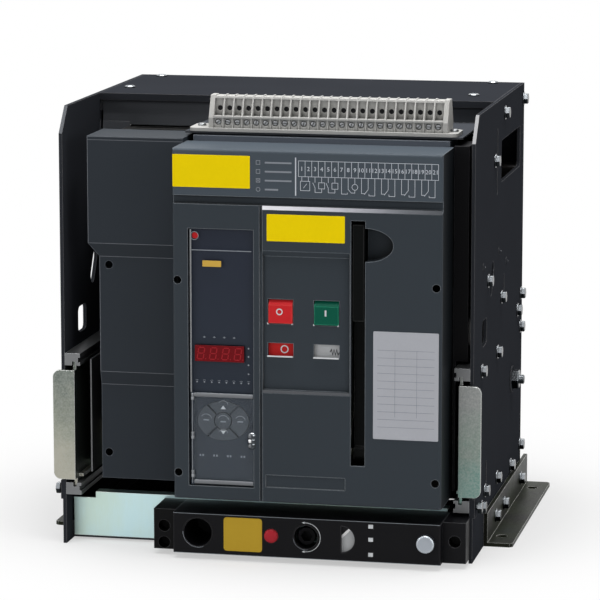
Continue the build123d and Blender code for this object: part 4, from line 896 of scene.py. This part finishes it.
def doorFittings():
    low, high = span("controller_door")
    front = door["front"]
    bars = []
    for z in (low[2] + 2.2, high[2] - 2.2):
        angle = loop(9, 0, 180, False)
        section = np.column_stack([front - door["barReach"] * np.sin(angle),
                                   z + door["barHeight"] / 2 * np.cos(angle)])
        bars.append(bar(section, low[0] + 3.4, high[0] - 0.4))
    piece("doorBars", "satinBar", "controller_door", bars, smooth=40)
    x, y = door["hinge"]
    knuckle = [(1.5, -3.6), (2.05, -3.2), (2.05, -0.6), (1.7, -0.3), (1.7, 0.3), (2.05, 0.6), (2.05, 3.2),
               (1.5, 3.6)]
    pins = [spun(knuckle, (x, y, z), "z", 20) for z in door["knuckles"]]
    pins.append(line([(x, low[2] + 1), (x, high[2] - 1)], 0.5, door["pin"], 0.4))
    piece("doorHinge", "satinBar", "controller_door", pins, smooth=50)
    x0, x1, z0, z1 = door["latch"]
    ends = np.linspace(z0 + 1.2, z1 - 1.0, 4)
    hooks = [slab(card(x0 + 0.6, x0 + 3.8, a + 0.5, b - 0.5, 1.2), front - 2.6, front - 1.6, 0.6)
             for a, b in zip(ends[:-1], ends[1:])]
    piece("doorLatch", "chrome", "controller_door", hooks[1:2], smooth=50)
    piece("doorHooks", "satinBar", "controller_door", hooks[::2], smooth=50)
    clip = [slab(card(x0, x1, z0, z1, 3.2), front - 1.8, front, 0.9)]
    clip += [slab(card(x0 + 4.4, x1 - 1.0, z - 1.1, z + 1.1, 0.5), front - 2.5, front - 1.6, 0.4)
             for z in z0 + 4.5 + np.arange(3) * 4.4]
    piece("doorClip", "boltSteel", "controller_door", clip, smooth=30)


# middle of each key's arc, and its radius
keys = {"key_up": (-32.3, 155.0, 5.0), "key_down": (-32.3, 127.0, 4.6), "key_left": (-49.2, 140.8, 5.4),
        "key_right": (-15.4, 140.2, 5.2), "key_enter": (-32.3, 139.6, 5.8)}


def keyMarks():  # a light arc on each key, with a triangle on two of them and a bar on the others
    face = span("key_enter")[0][1] - ink / 2
    for key, (x, z, radius) in keys.items():
        piece(key + "Arc", "arcInk", key, [line(arc(x, z, radius, 15, 150, 14), 0.5, face)])
        if key in ("key_up", "key_down"):
            way = 1 if key == "key_up" else -1
            base, tip = z - 3.4 * way, z + 0.2 * way
            mark, tint = patch(np.array([(x - 2.5, base), (x + 2.5, base), (x, tip)]), face), "keyInk"
        else:
            mark, tint = line([(x - 2.8, z - 0.4), (x + 2.8, z - 0.4)], 1.3, face), "keyDim"
        piece(key + "Mark", tint, key, [mark])


doorFittings()
keyMarks()
print("controller and door made")


# Marks on the buttons and flags, and painted highlights on the sills and corners of their windows

windows = {"x": (24.4, 69.4), "half": 12.4, "sill": (205.4, 206.5), "corner": (237.3, 238.8),
           "off": (23.4, 249.2), "on": (68.6, 246.3, 252.2), "open": (27.6, 212.2), "spring": (72.2, 211.0)}


def buttonMarks():
    face = span("off_button")[0][1] - ink
    ring = line(disc(*windows["off"], 2.7, 28), 1.1, face, closed=True)
    piece("offMark", "inkWhite", "off_button", [ring])
    x, z0, z1 = windows["on"]
    piece("onMark", "inkWhite", "on_button", [line([(x, z0), (x, z1)], 1.7, face)])
    face = span("contact_flag")[0][1] - ink
    ring = line(disc(*windows["open"], 3.4, 28), 1.1, face, closed=True)
    piece("openMark", "inkWhite", "contact_flag", [ring])
    x, z = windows["spring"]
    zigzag = [(x + 1.3 * i, z + (2.6 if i % 2 else -2.6) * (0 < i < 7)) for i in range(8)]
    piece("springMark", "inkBlack", "charge_flag", [line(zigzag, 0.8, face)])
    sills, corners = [], []
    half, back, (z0, z1) = windows["half"], coverFace + pocket, windows["corner"]
    # white sill strip and corner chips in each window: painted highlights
    for x in windows["x"]:
        sills.append(slab(card(x - half, x + half, *windows["sill"]), back + 0.2, back + 2.2))
        for way in (-half, half):
            corner = np.array([(x + way, z0), (x + way - math.copysign(1.4, way), z0), (x + way, z1)])
            corners.append(slab(corner, back + 0.1, back + 1.4))
    piece("windowSills", "inkWhite", "breaker", sills)
    piece("windowCorners", "inkWhite", "breaker", corners)


buttonMarks()
print("button marks made")


# Print, rings and label on the racking panel, and what its buttons and dial show

racking = {"crank": (48.4, 27.3), "storage": (-59.2, 27.0), "dial": (83.4, 27.0), "arc": 14.4,
           "square": (112.5, 4.6, 3.9), "squares": (41.1, 28.1, 13.2), "label": (-33.3, 5.0, 10.0, 43.5)}


def crankMarks():  # an arc with two arrow heads round the crank hole, three small squares, the label
    face = panelFace - ink
    x, z = racking["crank"]
    radius = racking["arc"]
    marks = [line(arc(x, z, radius, 96, -96, 28), 0.5, face)]
    for way in (-1, 1):
        tip = np.array([x - 4.6, z + way * radius])
        marks.append(patch(np.array([tip + (0.8, 0), tip + (3.4, 1.1), tip + (3.4, -1.1)]), face))
    x, width, height = racking["square"]
    marks += [patch(card(x - width / 2, x + width / 2, z - height / 2, z + height / 2), face)
              for z in racking["squares"]]
    piece("rackingMarks", "inkWhite", "cradle", marks)
    shape = slab(card(*racking["label"], 3.0), panelFace - 0.3, panelFace + 0.05, 0.15)
    piece("rackingLabel", "labelOchre", "cradle", [shape])


def panelRings():  # a rim round each hole, painted highlights along the rims and the panel's edges, the storage's end
    rings = []
    for (x, z), radius in ((racking["storage"], 14.0), (racking["crank"], 11.6)):
        profile = np.array([(0.15, 0.4), (0.15, 0.0), (0.4, -0.35), (1.3, -0.35), (1.7, 0.0), (1.7, 0.4)])
        reach, angle = radius + profile[:, 0], loop(40)
        around = [np.column_stack([x + reach * math.cos(a), panelFace + profile[:, 1],
                                   z + reach * math.sin(a)]) for a in (*angle, angle[0])]
        verts, faces = tube(around)
        rings.append((verts, faces[:-2]))
    piece("rackingRings", "rimGrey", "cradle", rings, smooth=50)
    light = [line(arc(*racking["storage"], 14.9, 178, 292, 24), 0.45, panelFace - 0.4),
             line(arc(*racking["crank"], 12.5, 190, 280, 20), 0.3, panelFace - 0.4)]
    piece("ringGlints", "inkGrey", "cradle", light)
    edges = [line([(panelLow[0] + 0.5, z), (panelHigh[0] - 0.5, z)], 0.4, panelFace - 0.02, 0.2)
             for z in (panelHigh[2] - 0.4, panelLow[2] + 0.4)]
    piece("panelGlints", "arcInk", "cradle", edges)
    end = slab(disc(*racking["storage"], 13.9), plateFront + 17.0, plateFront + 18.6)
    piece("storageEnd", "inkBlack", "cradle", [end])


def frontOf(node):  # the middle of a round node's front face
    low, high = span(node)
    return (low[0] + high[0]) / 2, low[1], (low[2] + high[2]) / 2


def panelButtons():  # domed release button, knurled plunger head, the dial's shade and pointer
    dome = [(6.8, -0.6), (6.6, 0.0), (6.0, 0.9), (4.4, 1.5), (2.0, 1.8)]
    cap = spun(dome, frontOf("lock_release_button"), "-y", 32)
    piece("releaseDome", "releaseRed", "lock_release_button", [cap], smooth=40)
    place = frontOf("padlock_plunger")
    knurl = [(8.6, -4.6), (8.75, -4.2), (8.75, -0.9), (8.3, -0.4)]
    ribs = spun(knurl, place, "-y", 128, lambda angle: 1 + 0.012 * np.cos(32 * angle))
    crown = spun([(8.35, -0.6), (8.0, 0.0), (7.2, 0.25), (6.6, 0.1), (3.0, 0.3)], place, "-y", 40)
    piece("plungerHead", "plungerSteel", "padlock_plunger", [ribs, crown], smooth=30)
    face = span("position_indicator")[0][1] - ink
    x, z = racking["dial"]
    shade = np.concatenate([arc(x, z, 13.6, 50, 92, 10), [(x - 0.6, z + 1.5)]])
    piece("dialShade", "inkBlack", "position_indicator", [patch(shade, face)])
    pointer = line([(x - 0.5, z + 1.5), (x + 8.2, z + 9.8)], 2.4, face - ink)
    piece("pointer", "pointerWhite", "position_indicator", [pointer])


crankMarks()
panelRings()
panelButtons()
print("racking panel marks made")


# Painted highlights on bevels and on the cut edges of the plates, a seal, and a strip beside the neutral
# pole

bright = {"panelBevel": (348.1, 351.9), "pocketSill": (170.2, 172.9), "left": 7.4, "sillRight": 92.4,
          "cut": (25.2, 21.4), "plate": 5.5, "seal": (-200.4, -172.0, 352.2, 407.0),
          "sealDepth": (144.4, 145.8),
          "poleStrip": (-181.6, -180.2, 70.0, 184.0), "stripDepth": (18.0, 62.0)}
steps = {"brow": 303.7, "inset": 10.8, "levels": ((290.2, 4.0), (175.2, 4.0), (161.8, 8.0))}


def sloped(start, end, x0, x1, lift=0.12):  # thin skin on a slope between two (y, z) points, along x
    start, end = np.array(start), np.array(end)
    along = (end - start) / np.linalg.norm(end - start)
    out = np.array([-along[1], along[0]])
    return bar([start + out * lift, end + out * lift, end - out * 0.2, start - out * 0.2], x0, x1)


def brightEdges():
    # a painted reflection on the panel's bevel, and a painted highlight on the pocket's sill
    for name, paint, right in (("panelBevel", "bevelShine", coverHigh[0] - 0.4),
                               ("pocketSill", "cutDim", bright["sillRight"])):
        low, high = bright[name]
        skin = sloped((coverFace, low), (coverFace + pocket, high), bright["left"], right)
        piece(name, paint, "breaker", [skin])
    # thin strips on the cut edges of the plates: painted highlight, bright on the right plate, dim on the
    # left
    down, back = bright["cut"]
    corner, drop = (plateFront, plateHigh[2] - down), (plateFront + back, plateHigh[2])
    inner = plateHigh[0] - bright["plate"]
    for name, paint, x in (("plateEdgeHighlightRight", "cutBright", inner + 0.1),
                           ("plateEdgeHighlightLeft", "cutDim", -inner - 3.4)):
        piece(name, paint, "cradle", [sloped(corner, drop, x, x + 3.3)])
    seal = slab(card(*bright["seal"]), *(plateFront + depth for depth in bright["sealDepth"]))
    piece("cornerSeal", "powderPale", "cradle", [seal])
    beside = slab(card(*bright["poleStrip"]), *(plateFront + depth for depth in bright["stripDepth"]))
    piece("poleStrip", "drawnAluminium", "breaker", [beside])


def coverGlints():  # painted highlights along the edges of the steps in the neutral cover
    low, high = span("neutral_cover")
    right, top, brow, inset = coverLow[0] - 0.4, high[2] - 0.6, steps["brow"], low[0] + steps["inset"]

    def glint(start, end, back=0.0):
        return line([start, end], 0.45, low[1] + back - 0.02, 0.3)

    marks = [glint((low[0] + 0.5, z), (right, z)) for z in (top, high[2] - 3.6, brow)]
    marks.append(glint((low[0] + 0.4, top), (low[0] + 0.4, brow)))
    marks += [glint((inset, z), (right, z), back) for z, back in steps["levels"]]
    (upper, back), (lower, back) = steps["levels"][:2]
    marks.append(glint((inset, upper), (inset, lower), back))
    piece("neutralGlints", "glint", "breaker", marks)


coverGlints()
brightEdges()
print("bright edges made")


# Floor and background

def seenRays(tree):  # 1 for rays from the camera, from metal and through glass, else 0
    path = tree.nodes.new("ShaderNodeLightPath")
    total = path.outputs["Is Camera Ray"]
    for kind in ("Is Glossy Ray", "Is Transmission Ray"):
        larger = tree.nodes.new("ShaderNodeMath")
        larger.operation = "MAXIMUM"
        tree.links.new(total, larger.inputs[0])
        tree.links.new(path.outputs[kind], larger.inputs[1])
        total = larger.outputs[0]
    return total


def makeFloor():  # paper that keeps the shadow, and is seen as plain white further out
    half = studio["floorSize"] / 2
    mesh = bpy.data.meshes.new("floor")
    corners = [(-half, -half, 0), (half, -half, 0), (half, half, 0), (-half, half, 0)]
    mesh.from_pydata(corners, [], [(0, 1, 2, 3)])
    floor = placed("floor", mesh)
    paint = Paint("floorPaper", specularIORLevel=0.0)
    speckle = paint.noise(4.0, 3.0)
    shade = studio["floor"]
    paint.set(baseColor=paint.mix(speckle * 0.1, (shade,) * 3, (shade * 0.96,) * 3),
              roughness=speckle * 0.1 + 0.8)
    distance = paint.node("VectorMath", {"operation": "LENGTH"}, {0: paint.place}, "Value")
    reach = studio["whiteReach"] - studio["shadowReach"]
    out = ((distance - studio["shadowReach"]) / reach).held()
    white = paint.node("Emission", {}, {"Color": (1.0, 1.0, 1.0), "Strength": 1.0})
    factor = (out * 0.5 + 0.5) * Wire(paint, seenRays(paint.tree))
    paper = Wire(paint, paint.shader.outputs[0])
    mixed = paint.node("MixShader", {}, {0: factor, 1: paper, 2: white})
    paint.feed(paint.tree.nodes["Material Output"].inputs["Surface"], mixed)
    mesh.materials.append(paint.material)


def makeWorld():  # soft light all round, seen as white by the camera and in reflections
    world = bpy.data.worlds.new("studio")
    bpy.context.scene.world = world
    world.use_nodes = True
    tree = world.node_tree
    background = tree.nodes["Background"]
    brightness = tree.nodes.new("ShaderNodeMath")
    brightness.operation = "MULTIPLY_ADD"
    tree.links.new(seenRays(tree), brightness.inputs[0])
    brightness.inputs[1].default_value = 1.0 - studio["ambient"]
    brightness.inputs[2].default_value = studio["ambient"]
    tree.links.new(brightness.outputs[0], background.inputs["Strength"])
    background.inputs["Color"].default_value = (1.0, 1.0, 1.0, 1.0)


makeFloor()
makeWorld()
print("floor and background made")
